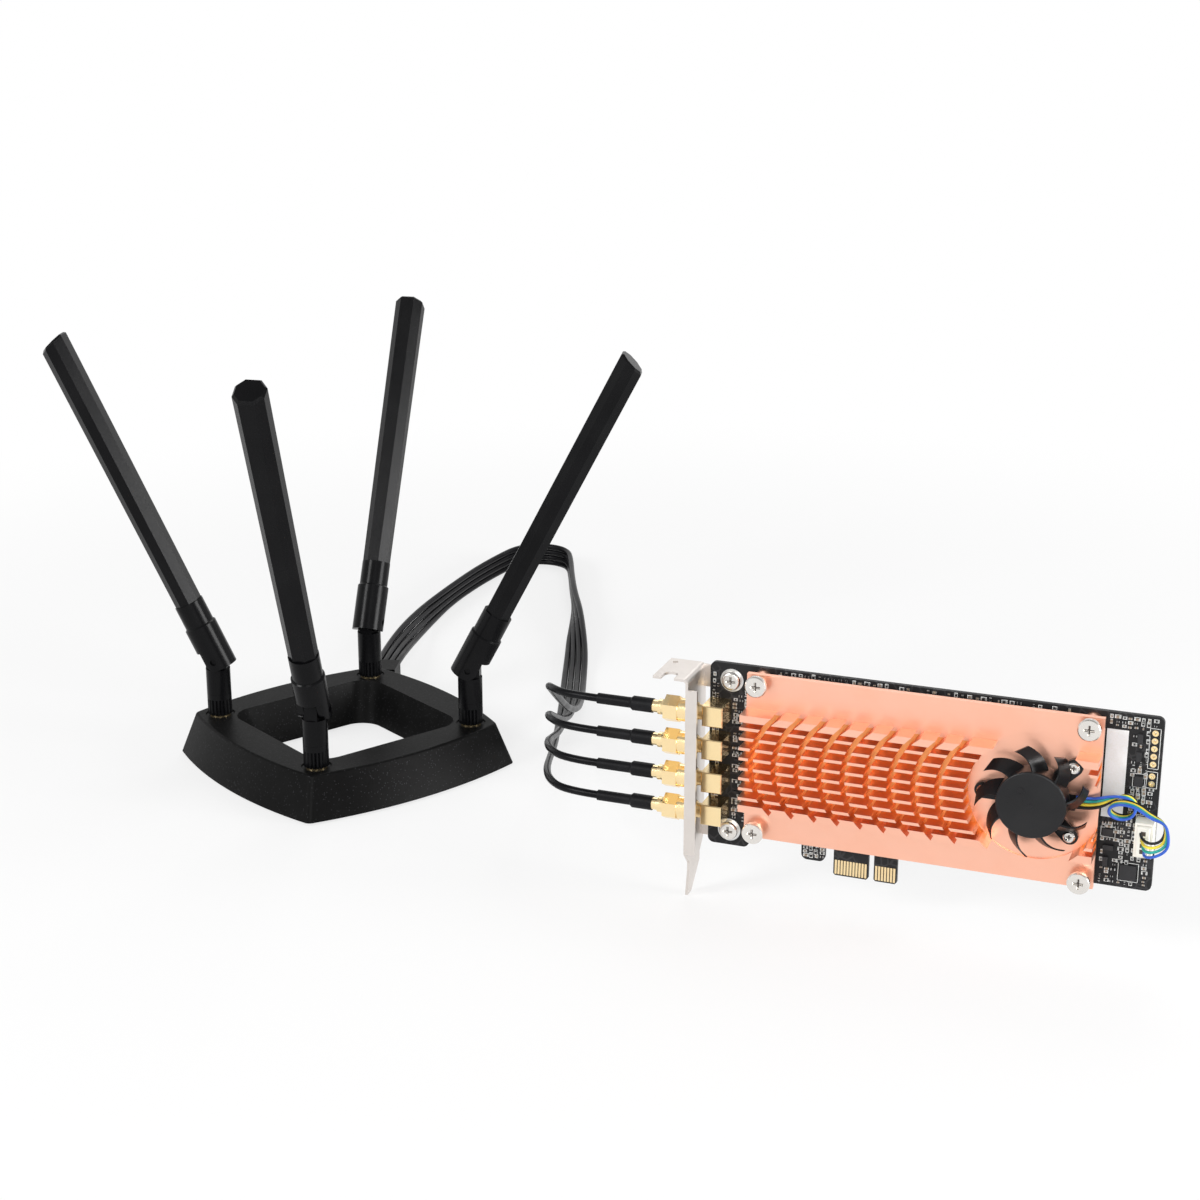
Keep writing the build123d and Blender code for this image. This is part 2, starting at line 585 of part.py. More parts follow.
# Three small screws through the lugs into the heat sink
FAN_SCREW_TOP = FAN_BASE_THICKNESS + FAN_SCREW_HEAD_HEIGHT
with BuildPart() as fan_screws:
    with BuildSketch(fan.offset(FAN_BASE_THICKNESS)):
        with Locations(*FAN_LUG_PLACES):
            Circle(FAN_SCREW_HEAD_RADIUS)
    extrude(amount=FAN_SCREW_HEAD_HEIGHT)
    chamfer(fan_screws.faces().group_by(Axis.Y)[0].edges(), FAN_SCREW_HEAD_HEIGHT / 3)
    with BuildSketch(fan.offset(FAN_BASE_THICKNESS)):
        with Locations(*FAN_LUG_PLACES):
            Circle(FAN_SCREW_SHANK)
    extrude(amount=-FAN_BASE_THICKNESS - SINK_THICKNESS + FAN_POCKET_DEPTH)
    recess = cross_recess(fan.offset(FAN_SCREW_TOP), FAN_LUG_PLACES, FAN_SCREW_HEAD_RADIUS)
    extrude(recess, amount=-FAN_SCREW_HEAD_HEIGHT / 2, mode=Mode.SUBTRACT)
save(fan_screws, "fan_screws")

# One swept fan blade about the fan's own axis, lofted through three sections from the hub to the tip
HUB_LOW = FAN_BASE_THICKNESS + HUB_GAP
HUB_TOP = HUB_LOW + HUB_HEIGHT
BLADE_ROOT_RADIUS = HUB_RADIUS - HUB_WALL / 2
BLADE_RISE = BLADE_CHORD * sin(radians(BLADE_PITCH)) / 2
BLADE_MIDDLE = HUB_TOP - HUB_WALL / 2 - BLADE_RISE
with BuildPart() as fan_blade:
    for share in (0, 0.5, 1):
        turn = radians(BLADE_SWEEP * (share + share * share) / 2)
        radius = BLADE_ROOT_RADIUS + share * (BLADE_TIP_RADIUS - BLADE_ROOT_RADIUS)
        section = Plane(
            (radius * cos(turn), radius * sin(turn), BLADE_MIDDLE),
            x_dir=(-sin(turn), cos(turn), 0),
            z_dir=(cos(turn), sin(turn), 0),
        )
        with BuildSketch(section):
            chord = BLADE_CHORD * (1 - share * (1 - BLADE_TIP_SHRINK))
            Rectangle(chord, BLADE_THICKNESS, rotation=BLADE_PITCH)
    loft()

# Turning half of the fan: cup shaped hub with its blades
with BuildPart(fan) as fan_rotor:
    with BuildSketch(fan.offset(HUB_LOW)):
        Circle(HUB_RADIUS)
    extrude(amount=HUB_HEIGHT)
    fillet(fan_rotor.faces().sort_by(Axis.Y)[0].edges(), HUB_ROUND)
    with PolarLocations(0, BLADE_COUNT):
        add(fan_blade.part)
    with BuildSketch(fan.offset(HUB_LOW)):
        Circle(HUB_RADIUS - HUB_WALL)
    extrude(amount=HUB_HEIGHT - HUB_WALL, mode=Mode.SUBTRACT)
    with BuildSketch(fan.offset(HUB_TOP - HUB_WALL)):
        Circle(2 * SHAFT_RADIUS)
        Circle(SHAFT_RADIUS, mode=Mode.SUBTRACT)
    extrude(amount=-HUB_WALL)
save(fan_rotor, "fan_rotor")

# Ring magnet inside the hub
with BuildPart() as fan_magnet:
    with BuildSketch(fan.offset(HUB_TOP - HUB_WALL)):
        Circle(HUB_RADIUS - HUB_WALL)
        Circle(HUB_RADIUS - HUB_WALL - MAGNET_THICKNESS, mode=Mode.SUBTRACT)
    extrude(amount=-MAGNET_HEIGHT)
save(fan_magnet, "fan_magnet")

# Shaft pressed into the hub
with BuildPart() as fan_shaft:
    with BuildSketch(fan.offset(BEARING_FLOOR + SHAFT_CLEARANCE)):
        Circle(SHAFT_RADIUS)
    extrude(amount=HUB_TOP - HUB_WALL - BEARING_FLOOR - SHAFT_CLEARANCE)
save(fan_shaft, "fan_shaft")

# Socket on the board for the fan's lead: a shroud open at the front
with BuildPart() as fan_header:
    with BuildSketch(board):
        with Locations((HEADER_X, HEADER_MIDDLE)):
            Rectangle(HEADER_WIDTH, HEADER_LENGTH)
    extrude(amount=HEADER_HEIGHT)
    with BuildSketch(board.offset(HEADER_WALL)):
        with Locations((HEADER_X, HEADER_MIDDLE)):
            Rectangle(HEADER_WIDTH - 2 * HEADER_WALL, HEADER_LENGTH - 2 * HEADER_WALL)
    extrude(amount=HEADER_HEIGHT - HEADER_WALL, mode=Mode.SUBTRACT)
save(fan_header, "fan_header")

# Plug on the end of the fan's lead, seated on the floor of the socket
FAN_PLUG_TOP = HEADER_WALL + FAN_PLUG_HEIGHT
WIRE_HOLES = [HEADER_MIDDLE + WIRE_HOLE_PITCH * n for n in (1.5, 0.5, -0.5, -1.5)]
with BuildPart() as fan_plug:
    with BuildSketch(board.offset(HEADER_WALL)):
        with Locations((HEADER_X, HEADER_MIDDLE)):
            inset = 2 * (HEADER_WALL + PLUG_CLEARANCE)
            Rectangle(HEADER_WIDTH - inset, HEADER_LENGTH - inset)
    extrude(amount=FAN_PLUG_HEIGHT)
    chamfer(fan_plug.faces().sort_by(Axis.Y)[0].edges(), FAN_PLUG_CHAMFER)
save(fan_plug, "fan_plug")

# Blank white sticker
with BuildPart() as label:
    with BuildSketch(board):
        with Locations((SINK_RIGHT + LABEL_GAP, LABEL_BOTTOM)):
            Rectangle(LABEL_WIDTH, LABEL_LENGTH, align=(Align.MIN, Align.MIN))
    extrude(amount=LABEL_THICKNESS)
save(label, "label")

# Larger soldered parts: middle along the board and up it, size along and up, height.
# A place along the board below nought counts back from the right end.
CHIPS = (
    (-7.4, 16.6, 5.0, 5.0, 0.9),
    (-14.4, 29.2, 3.2, 2.5, 0.8),
    (-6.4, 47.6, 2.6, 3.4, 1.2),
    (-6.8, 55.6, 1.6, 3.2, 1.0),
    (-6.8, 61.4, 1.6, 3.2, 1.0),
    (-14.6, 19.4, 1.6, 3.2, 1.0),
    (-14.0, 24.2, 3.2, 1.6, 1.0),
    (9.6, 47.4, 1.6, 0.8, 0.6),
    (9.6, 35.8, 1.6, 0.8, 0.6),
    (9.6, 24.3, 1.6, 0.8, 0.6),
    (11.6, 41.6, 0.8, 1.6, 0.6),
    (11.6, 30.1, 0.8, 1.6, 0.6),
)
with BuildPart() as board_chips:
    for x, height, length, width, thickness in CHIPS:
        with BuildSketch(board):
            with Locations((x if x > 0 else BOARD_LENGTH + x, height)):
                Rectangle(length, width)
        extrude(amount=thickness)
save(board_chips, "board_chips")

# Four square coax jacks on the board, with their threaded ends through the bracket
with BuildPart() as sma_jacks:
    with BuildSketch(board):
        with Locations(*[(JACK_BLOCK_LEFT + JACK_BLOCK / 2, height) for height in JACK_HEIGHTS]):
            Rectangle(JACK_BLOCK, JACK_BLOCK)
    extrude(amount=JACK_AXIS + JACK_BLOCK / 2)
    chamfer(sma_jacks.faces().group_by(Axis.Y)[0].edges(), JACK_CHAMFER)
    for height in JACK_HEIGHTS:
        axis = Plane(board.from_local_coords(Vector(0, height, JACK_AXIS)), x_dir=(0, -1, 0), z_dir=(1, 0, 0))
        with BuildSketch(axis.offset(JACK_BLOCK_LEFT)):
            Circle(JACK_NECK_RADIUS)
        extrude(amount=BRACKET_X + SHEET - JACK_BLOCK_LEFT)
        with BuildSketch(axis.offset(BRACKET_X + SHEET)):
            Circle(JACK_THREAD_RADIUS)
        extrude(amount=JACK_THREAD_END - BRACKET_X - SHEET)
save(sma_jacks, "sma_jacks")

# Four coupling nuts, part hexagon and part round, around the threaded ends
NUT_STEP = NUT_FRONT - NUT_ROUND_LENGTH
NUT_BACK = NUT_STEP - NUT_HEX_LENGTH
JACK_LINES = [
    Plane(board.from_local_coords(Vector(0, height, JACK_AXIS)), x_dir=(0, -1, 0), z_dir=(-1, 0, 0))
    for height in JACK_HEIGHTS
]
with BuildPart() as plug_nuts:
    for line in JACK_LINES:
        with BuildSketch(line.offset(-NUT_FRONT)):
            Circle(NUT_ROUND_RADIUS)
        extrude(amount=NUT_ROUND_LENGTH)
        with BuildSketch(line.offset(-NUT_STEP)):
            RegularPolygon(NUT_FLATS / 2, 6, major_radius=False, rotation=30)
        extrude(amount=NUT_HEX_LENGTH)
        with BuildSketch(line.offset(-NUT_FRONT)):
            Circle(JACK_THREAD_RADIUS + NUT_BORE_CLEARANCE)
        extrude(amount=NUT_FRONT - NUT_BACK - NUT_BACK_WALL, mode=Mode.SUBTRACT)
        with BuildSketch(line.offset(-NUT_BACK)):
            Circle(PLUG_NECK_RADIUS)
        extrude(amount=-NUT_BACK_WALL, mode=Mode.SUBTRACT)
save(plug_nuts, "plug_nuts")

# Plug bodies with a flange inside the nut, a stepped ferrule and a crimp
FERRULE_END = NUT_BACK - FERRULE_LENGTH
CRIMP_END = FERRULE_END - CRIMP_LENGTH
FLANGE_FRONT = JACK_THREAD_END
for number, line in enumerate(JACK_LINES, 1):
    with BuildPart() as plug:
        with BuildSketch(upright(line)):
            with BuildLine():
                Polyline(
                    (0, -FLANGE_FRONT),
                    (PLUG_FLANGE_RADIUS, -FLANGE_FRONT),
                    (PLUG_FLANGE_RADIUS, -NUT_BACK - NUT_BACK_WALL),
                    (PLUG_NECK_RADIUS, -NUT_BACK - NUT_BACK_WALL),
                    (PLUG_NECK_RADIUS, -NUT_BACK),
                    (FERRULE_RADIUS + FERRULE_RIM, -NUT_BACK),
                    (FERRULE_RADIUS, -NUT_BACK + FERRULE_LENGTH / 2),
                    (FERRULE_RADIUS, -FERRULE_END),
                    (CRIMP_RADIUS, -FERRULE_END),
                    (CRIMP_RADIUS, -CRIMP_END),
                    (0, -CRIMP_END),
                    close=True,
                )
            make_face()
        revolve(axis=Axis(line.origin, line.z_dir))
    save(plug, f"plug_{number}")

# Four stepped sleeves behind the plugs
BOOT_END = CRIMP_END - BOOT_THICK_LENGTH - BOOT_THIN_LENGTH
with BuildPart() as boots:
    for line in JACK_LINES:
        with BuildSketch(upright(line)):
            with BuildLine():
                Polyline(
                    (0, -CRIMP_END),
                    (BOOT_THICK_RADIUS, -CRIMP_END),
                    (BOOT_THICK_RADIUS, -CRIMP_END + BOOT_THICK_LENGTH),
                    (BOOT_THIN_RADIUS, -CRIMP_END + BOOT_THICK_LENGTH + BOOT_STEP),
                    (BOOT_THIN_RADIUS, -BOOT_END),
                    (0, -BOOT_END),
                    close=True,
                )
            make_face()
        revolve(axis=Axis(line.origin, line.z_dir))
save(boots, "boots")


def strand(route, offset, end_rise=0.0):
    """Points of one strand of a band of cords.

    A stop of the route gives the band's middle (x, y, rise), its lean from flat (0) to on edge (90), the
    spacing of its strands there, and how far the strand has risen from the band to its own end's height.
    """
    points = []
    for n, (x, y, rise, lean, spacing, share) in enumerate(route):
        before = route[max(n - 1, 0)]
        after = route[min(n + 1, len(route) - 1)]
        heading = atan2(after[1] - before[1], after[0] - before[0])
        across = offset * spacing
        flat = across * cos(radians(lean))
        height = rise + across * sin(radians(lean))
        rise_here = height + share * (end_rise - height)
        points.append((x - flat * sin(heading), y + flat * cos(heading), rise_here))
    return points


def bend_radii(points):
    """Radius of the arc at each inner point, sized so that neighbouring arcs leave a short straight run."""
    radii = []
    for a, b, c in zip(points, points[1:], points[2:]):
        first = Vector(*b) - Vector(*a)
        second = Vector(*c) - Vector(*b)
        half_turn = radians(first.get_angle(second)) / 2
        radii.append(RUN_SHARE * min(first.length, second.length) / tan(half_turn))
    return radii


def cord(points, diameter, name):
    """Round cord along straight runs with tangent arcs between them."""
    radii = bend_radii(points)
    with BuildPart() as tube:
        with BuildLine() as path:
            FilletPolyline(*points, radius=radii)
        with BuildSketch(Plane(points[0], z_dir=Vector(*points[1]) - Vector(*points[0]))):
            Circle(diameter / 2)
        sweep(path=path.wire())
    print(name, "length", round(path.wire().length, 1), "tightest bend", round(min(radii), 1))
    save(tube, name)


# Fan wires: a flat band of four that leaves the fan's base, makes one loop on edge and enters the plug.
# Stops are along from the board's right end, up the board, above it, lean, spacing, share of the rise.
WIRE_LOW = POCKET_FLOOR + FAN_BASE_THICKNESS / 2
WIRE_ROUTE = (
    (FAN_X + FAN_EXIT_REACH + CORD_END_GAP - BOARD_LENGTH, SINK_MIDDLE, WIRE_LOW, 0, WIRE_SPACING, 0),
    (-20.4, SINK_MIDDLE, WIRE_LOW, 0, WIRE_SPACING, 0),
    (-16.2, 41.2, 5.9, 20, WIRE_SPACING, 0),
    (-12.6, 42.8, 4.0, 60, WIRE_SPACING, 0),
    (-8.8, 43.2, 2.9, 90, WIRE_SPACING, 0),
    (-6.0, 40.8, 2.4, 90, WIRE_SPACING, 0),
    (-6.6, 37.0, 2.5, 90, WIRE_SPACING, 0),
    (-10.1, 35.7, 3.4, 90, WIRE_SPACING, 0),
    (-13.8, 37.9, 5.8, 90, WIRE_SPACING, 0),
    (-13.3, 42.0, 8.6, 90, WIRE_SPACING, 0),
    (-9.4, 43.9, 9.8, 90, WIRE_SPACING, 0),
    (-5.0, 43.4, 10.3, 90, WIRE_SPACING, 0),
    (-0.8, 40.8, 10.6, 90, WIRE_SPACING, 0),
    (3.5, 39.5, 11.2, 69, WIRE_SPACING, 0),
    (4.6, 36.5, 11.9, 68, WIRE_SPACING, 0),
    (4.2, 32.8, 13.1, 35, WIRE_SPACING, 0),
    (0.7, 30.7, 13.4, 14, 1.4, 0),
    (-2.6, 30.3, 11.2, 0, 1.9, 0),
    (-HEADER_INSET, HEADER_MIDDLE, FAN_PLUG_TOP + CORD_END_GAP, 0, WIRE_HOLE_PITCH, 0),
)
for colour, place in WIRES.items():
    stops = [tuple(board_end.from_local_coords(Vector(*stop))) for stop in strand(WIRE_ROUTE, place)]
    cord(stops, WIRE_DIAMETER, f"fan_wire_{colour}")

# Coax cables: flat at the dock, on edge around the bend behind it, flat again, then fanned out to the plugs.
# Stops are from the board's corner along the row and back, above the floor, lean, spacing, share of the rise.
FLAT_RISE = COAX_DIAMETER / 2
EDGE_RISE = FLAT_RISE + 1.5 * COAX_SPACING
EXIT_RISE = (EXIT_BOTTOM + EXIT_TOP) / 2
exit_point = dock.from_local_coords(Vector(0, EXIT_REACH + CORD_END_GAP, 0)) - board.origin
COAX_ROUTE = (
    (exit_point.X, exit_point.Y, EXIT_RISE, 0, COAX_SPACING, 0),
    (-190.0, 145.0, EXIT_RISE, 0, COAX_SPACING, 0),
    (-196.0, 166.0, 7.8, 15, COAX_SPACING, 0),
    (-201.5, 190.0, 6.6, 40, COAX_SPACING, 0),
    (-206.0, 217.0, 5.5, 65, COAX_SPACING, 0),
    (-208.5, 246.0, EDGE_RISE, 90, COAX_SPACING, 0),
    (-208.8, 275.0, EDGE_RISE, 90, COAX_SPACING, 0),
    (-207.0, 300.0, EDGE_RISE, 90, COAX_SPACING, 0),
    (-204.5, 316.5, EDGE_RISE, 90, COAX_SPACING, 0),
    (-197.2, 323.6, EDGE_RISE, 90, COAX_SPACING, 0),
    (-187.1, 325.1, EDGE_RISE, 90, COAX_SPACING, 0),
    (-178.1, 320.2, EDGE_RISE, 90, COAX_SPACING, 0),
    (-171.0, 305.0, EDGE_RISE, 90, COAX_SPACING, 0),
    (-162.0, 284.0, EDGE_RISE, 90, COAX_SPACING, 0),
    (-152.0, 262.0, EDGE_RISE, 90, COAX_SPACING, 0),
    (-142.5, 240.0, 5.3, 65, COAX_SPACING, 0),
    (-133.8, 218.0, 4.2, 40, COAX_SPACING, 0),
    (-125.0, 196.0, 2.5, 15, COAX_SPACING, 0),
    (-116.5, 172.0, FLAT_RISE, 0, COAX_SPACING, 0),
    (-107.0, 146.0, FLAT_RISE, 0, COAX_SPACING, 0.03),
    (-97.5, 119.0, FLAT_RISE, 0, 2.6, 0.13),
    (-88.5, 92.0, FLAT_RISE, 0, 2.1, 0.28),
    (-80.0, 66.0, FLAT_RISE, 0, 1.5, 0.47),
    (-72.0, 40.0, FLAT_RISE, 0, 0.9, 0.69),
    (-65.0, 18.0, FLAT_RISE, 0, 0.4, 0.88),
    (-58.0, 2.0, FLAT_RISE, 0, 0.1, 0.98),
    (-49.0, -JACK_AXIS, FLAT_RISE, 0, 0, 1),
    (BOOT_END - CORD_END_GAP, -JACK_AXIS, FLAT_RISE, 0, 0, 1),
)
for number, height in enumerate(JACK_HEIGHTS, 1):
    stops = strand(COAX_ROUTE, 2.5 - number, BOARD_Z + height)
    stops = [(BOARD_X + x, BOARD_Y + y, z) for x, y, z in stops]
    cord(stops, COAX_DIAMETER, f"coax_{number}")


def ring_outline(height, corner, bulge):
    """Outline of the dock at a height: four bowed sides between rounded corners on the dock's axes."""
    middle = corner / 2 + bulge / sqrt(2)
    with BuildSketch(dock.offset(height)) as outline:
        with BuildLine():
            ThreePointArc((corner, 0), (middle, middle), (0, corner))
            ThreePointArc((0, corner), (-middle, middle), (-corner, 0))
            ThreePointArc((-corner, 0), (-middle, -middle), (0, -corner))
            ThreePointArc((0, -corner), (middle, -middle), (corner, 0))
        make_face()
        fillet(outline.vertices(), DOCK_CORNER_ROUND)
    return outline.sketch


def well_outline(height, half_width, corner):
    """Rounded square across the dock's middle, with its corners on the dock's axes."""
    with BuildSketch(dock.offset(height)) as outline:
        RectangleRounded(2 * half_width, 2 * half_width, corner, rotation=45)
    return outline.sketch


# Antenna dock: moulded ring, hollow underneath, with posts for its screws and a block that the cables leave
CORNER_WALL = DOCK_WALL * sqrt(2)
CEILING = DOCK_HEIGHT - DOCK_WALL
COVER_TOP = FOOT_PROUD + COVER_THICKNESS
SOCKET_PLACES = [
    (SOCKET_CIRCLE * cos(radians(a)), SOCKET_CIRCLE * sin(radians(a))) for a, _, _ in ANTENNAS.values()
]
SIDE_ANGLES = (45, 135, 225, 315)
POST_PLACES = [
    (DOCK_SCREW_CIRCLE * cos(radians(a)), DOCK_SCREW_CIRCLE * sin(radians(a))) for a in SIDE_ANGLES
]
with BuildPart() as dock_housing:
    loft([
        ring_outline(FOOT_PROUD, DOCK_BASE_CORNER, DOCK_BASE_BULGE),
        ring_outline(DOCK_HEIGHT, DOCK_TOP_CORNER, DOCK_TOP_BULGE),
    ])
    fillet(dock_housing.faces().sort_by(Axis.Z)[-1].edges(), DOCK_EDGE_ROUND)
    with BuildSketch(dock.offset(EXIT_BOTTOM)):
        with Locations((0, EXIT_ROOT)):
            Rectangle(EXIT_WIDTH, EXIT_REACH - EXIT_ROOT, align=(Align.CENTER, Align.MIN))
    extrude(amount=EXIT_TOP - EXIT_BOTTOM)
    loft([
        ring_outline(FOOT_PROUD, DOCK_BASE_CORNER - CORNER_WALL, DOCK_BASE_BULGE),
        ring_outline(CEILING, DOCK_TOP_CORNER - CORNER_WALL, DOCK_TOP_BULGE),
    ], mode=Mode.SUBTRACT)
    loft([
        well_outline(FOOT_PROUD, WELL_BASE + DOCK_WALL, WELL_CORNER + DOCK_WALL),
        well_outline(DOCK_HEIGHT - DOCK_WALL / 2, WELL_TOP + DOCK_WALL, WELL_CORNER + DOCK_WALL),
    ])
    with BuildSketch(dock.offset(COVER_TOP)):
        with Locations(*POST_PLACES):
            Circle(DOCK_POST_RADIUS)
    extrude(amount=CEILING - COVER_TOP)
    loft([
        well_outline(FOOT_PROUD, WELL_BASE, WELL_CORNER),
        well_outline(DOCK_HEIGHT, WELL_TOP, WELL_CORNER),
    ], mode=Mode.SUBTRACT)
    with BuildSketch(dock.offset(DOCK_HEIGHT)):
        with Locations(*SOCKET_PLACES):
            Circle(DISH_RADIUS)
    extrude(amount=-DISH_DEPTH, mode=Mode.SUBTRACT)
    with BuildSketch(dock.offset(DOCK_HEIGHT)):
        with Locations(*SOCKET_PLACES):
            Circle(SOCKET_THREAD_RADIUS + SOCKET_CLEARANCE)
    extrude(amount=-2 * DOCK_WALL, mode=Mode.SUBTRACT)
    with BuildSketch(dock.offset(COVER_TOP)):
        with Locations(*POST_PLACES):
            Circle(DOCK_SCREW_RADIUS)
    extrude(amount=DOCK_SCREW_LENGTH, mode=Mode.SUBTRACT)
save(dock_housing, "dock_housing")

# Cover under the ring, let in between the outer wall and the wall of the opening
with BuildPart() as dock_bottom:
    taper = COVER_THICKNESS / (CEILING - FOOT_PROUD)
    cover_corner = DOCK_BASE_CORNER - CORNER_WALL - taper * (DOCK_BASE_CORNER - DOCK_TOP_CORNER)
    cover_bulge = DOCK_BASE_BULGE - taper * (DOCK_BASE_BULGE - DOCK_TOP_BULGE)
    cover = ring_outline(FOOT_PROUD, cover_corner - COVER_CLEARANCE * sqrt(2), cover_bulge)
    extrude(cover, amount=COVER_THICKNESS)
    cover_well = WELL_BASE + DOCK_WALL + taper * (WELL_TOP - WELL_BASE) + COVER_CLEARANCE
    inside = well_outline(FOOT_PROUD, cover_well, WELL_CORNER + DOCK_WALL)
    extrude(inside, amount=COVER_THICKNESS, mode=Mode.SUBTRACT)
    with BuildSketch(dock.offset(FOOT_PROUD)):
        with Locations(*POST_PLACES):
            Circle(DOCK_SCREW_RADIUS)
    extrude(amount=COVER_THICKNESS, mode=Mode.SUBTRACT)
    with BuildSketch(dock.offset(FOOT_PROUD)):
        with Locations(*POST_PLACES):
            Circle(DOCK_SCREW_HEAD)
    extrude(amount=COVER_THICKNESS / 2, mode=Mode.SUBTRACT)
save(dock_bottom, "dock_bottom")

# Four screws that hold the cover to the posts
with BuildPart() as dock_screws:
    with BuildSketch(dock.offset(FOOT_PROUD)):
        with Locations(*POST_PLACES):
            Circle(DOCK_SCREW_HEAD)
    extrude(amount=COVER_THICKNESS / 2)
    with BuildSketch(dock.offset(FOOT_PROUD)):
        with Locations(*POST_PLACES):
            Circle(DOCK_SCREW_RADIUS)
    extrude(amount=COVER_THICKNESS + DOCK_SCREW_LENGTH)
    recess = cross_recess(dock.offset(FOOT_PROUD), POST_PLACES, DOCK_SCREW_HEAD)
    extrude(recess, amount=COVER_THICKNESS / 3, mode=Mode.SUBTRACT)
save(dock_screws, "dock_screws")

# Four rubber feet
FOOT_PLACES = [(FOOT_CIRCLE / SOCKET_CIRCLE * x, FOOT_CIRCLE / SOCKET_CIRCLE * y) for x, y in SOCKET_PLACES]
with BuildPart() as dock_feet:
    with BuildSketch(dock):
        with Locations(*FOOT_PLACES):
            Circle(FOOT_RADIUS)
    extrude(amount=FOOT_PROUD)
save(dock_feet, "dock_feet")

# Four bulkhead jacks: a collar in the dish, a threaded end and a hexagon under the ceiling
with BuildPart() as dock_jacks:
    with BuildSketch(dock.offset(CEILING - SOCKET_NUT_HEIGHT)):
        with Locations(*SOCKET_PLACES):
            RegularPolygon(SOCKET_NUT_FLATS / 2, 6, major_radius=False)
    extrude(amount=SOCKET_NUT_HEIGHT)
    with BuildSketch(dock.offset(CEILING - SOCKET_NUT_HEIGHT)):
        with Locations(*SOCKET_PLACES):
            Circle(SOCKET_THREAD_RADIUS)
    extrude(amount=SOCKET_NUT_HEIGHT + DOCK_WALL + SOCKET_RISE)
    with BuildSketch(dock.offset(DOCK_HEIGHT - DISH_DEPTH)):
        with Locations(*SOCKET_PLACES):
            Circle(SOCKET_COLLAR_RADIUS)
    extrude(amount=SOCKET_COLLAR_HEIGHT)
save(dock_jacks, "dock_jacks")

# Antennas: coupling nut, swivelling stem with a hinge tongue, pin, slotted sleeve and tapered blade
NUT_LOW = SOCKET_COLLAR_HEIGHT - DISH_DEPTH + SOCKET_CLEARANCE
STEM_LOW = KNURL_TOP + STEM_GAP
SHOULDER = STEM_LOW + STEM_HEIGHT
PIVOT = SHOULDER + TONGUE_REACH
SLEEVE_LOW = -TONGUE_REACH + HINGE_END_GAP
COLLAR_TOP = SLEEVE_LENGTH + COLLAR_LENGTH
PIN_HALF = SLEEVE_RADIUS - PIN_RECESS


def blade_section(plane, width, depth):
    """Rectangle with its four corners cut, the section of the blade."""
    with BuildSketch(plane) as section:
        Rectangle(depth, width)
        chamfer(section.vertices(), BLADE_FACET)
    return section.sketch


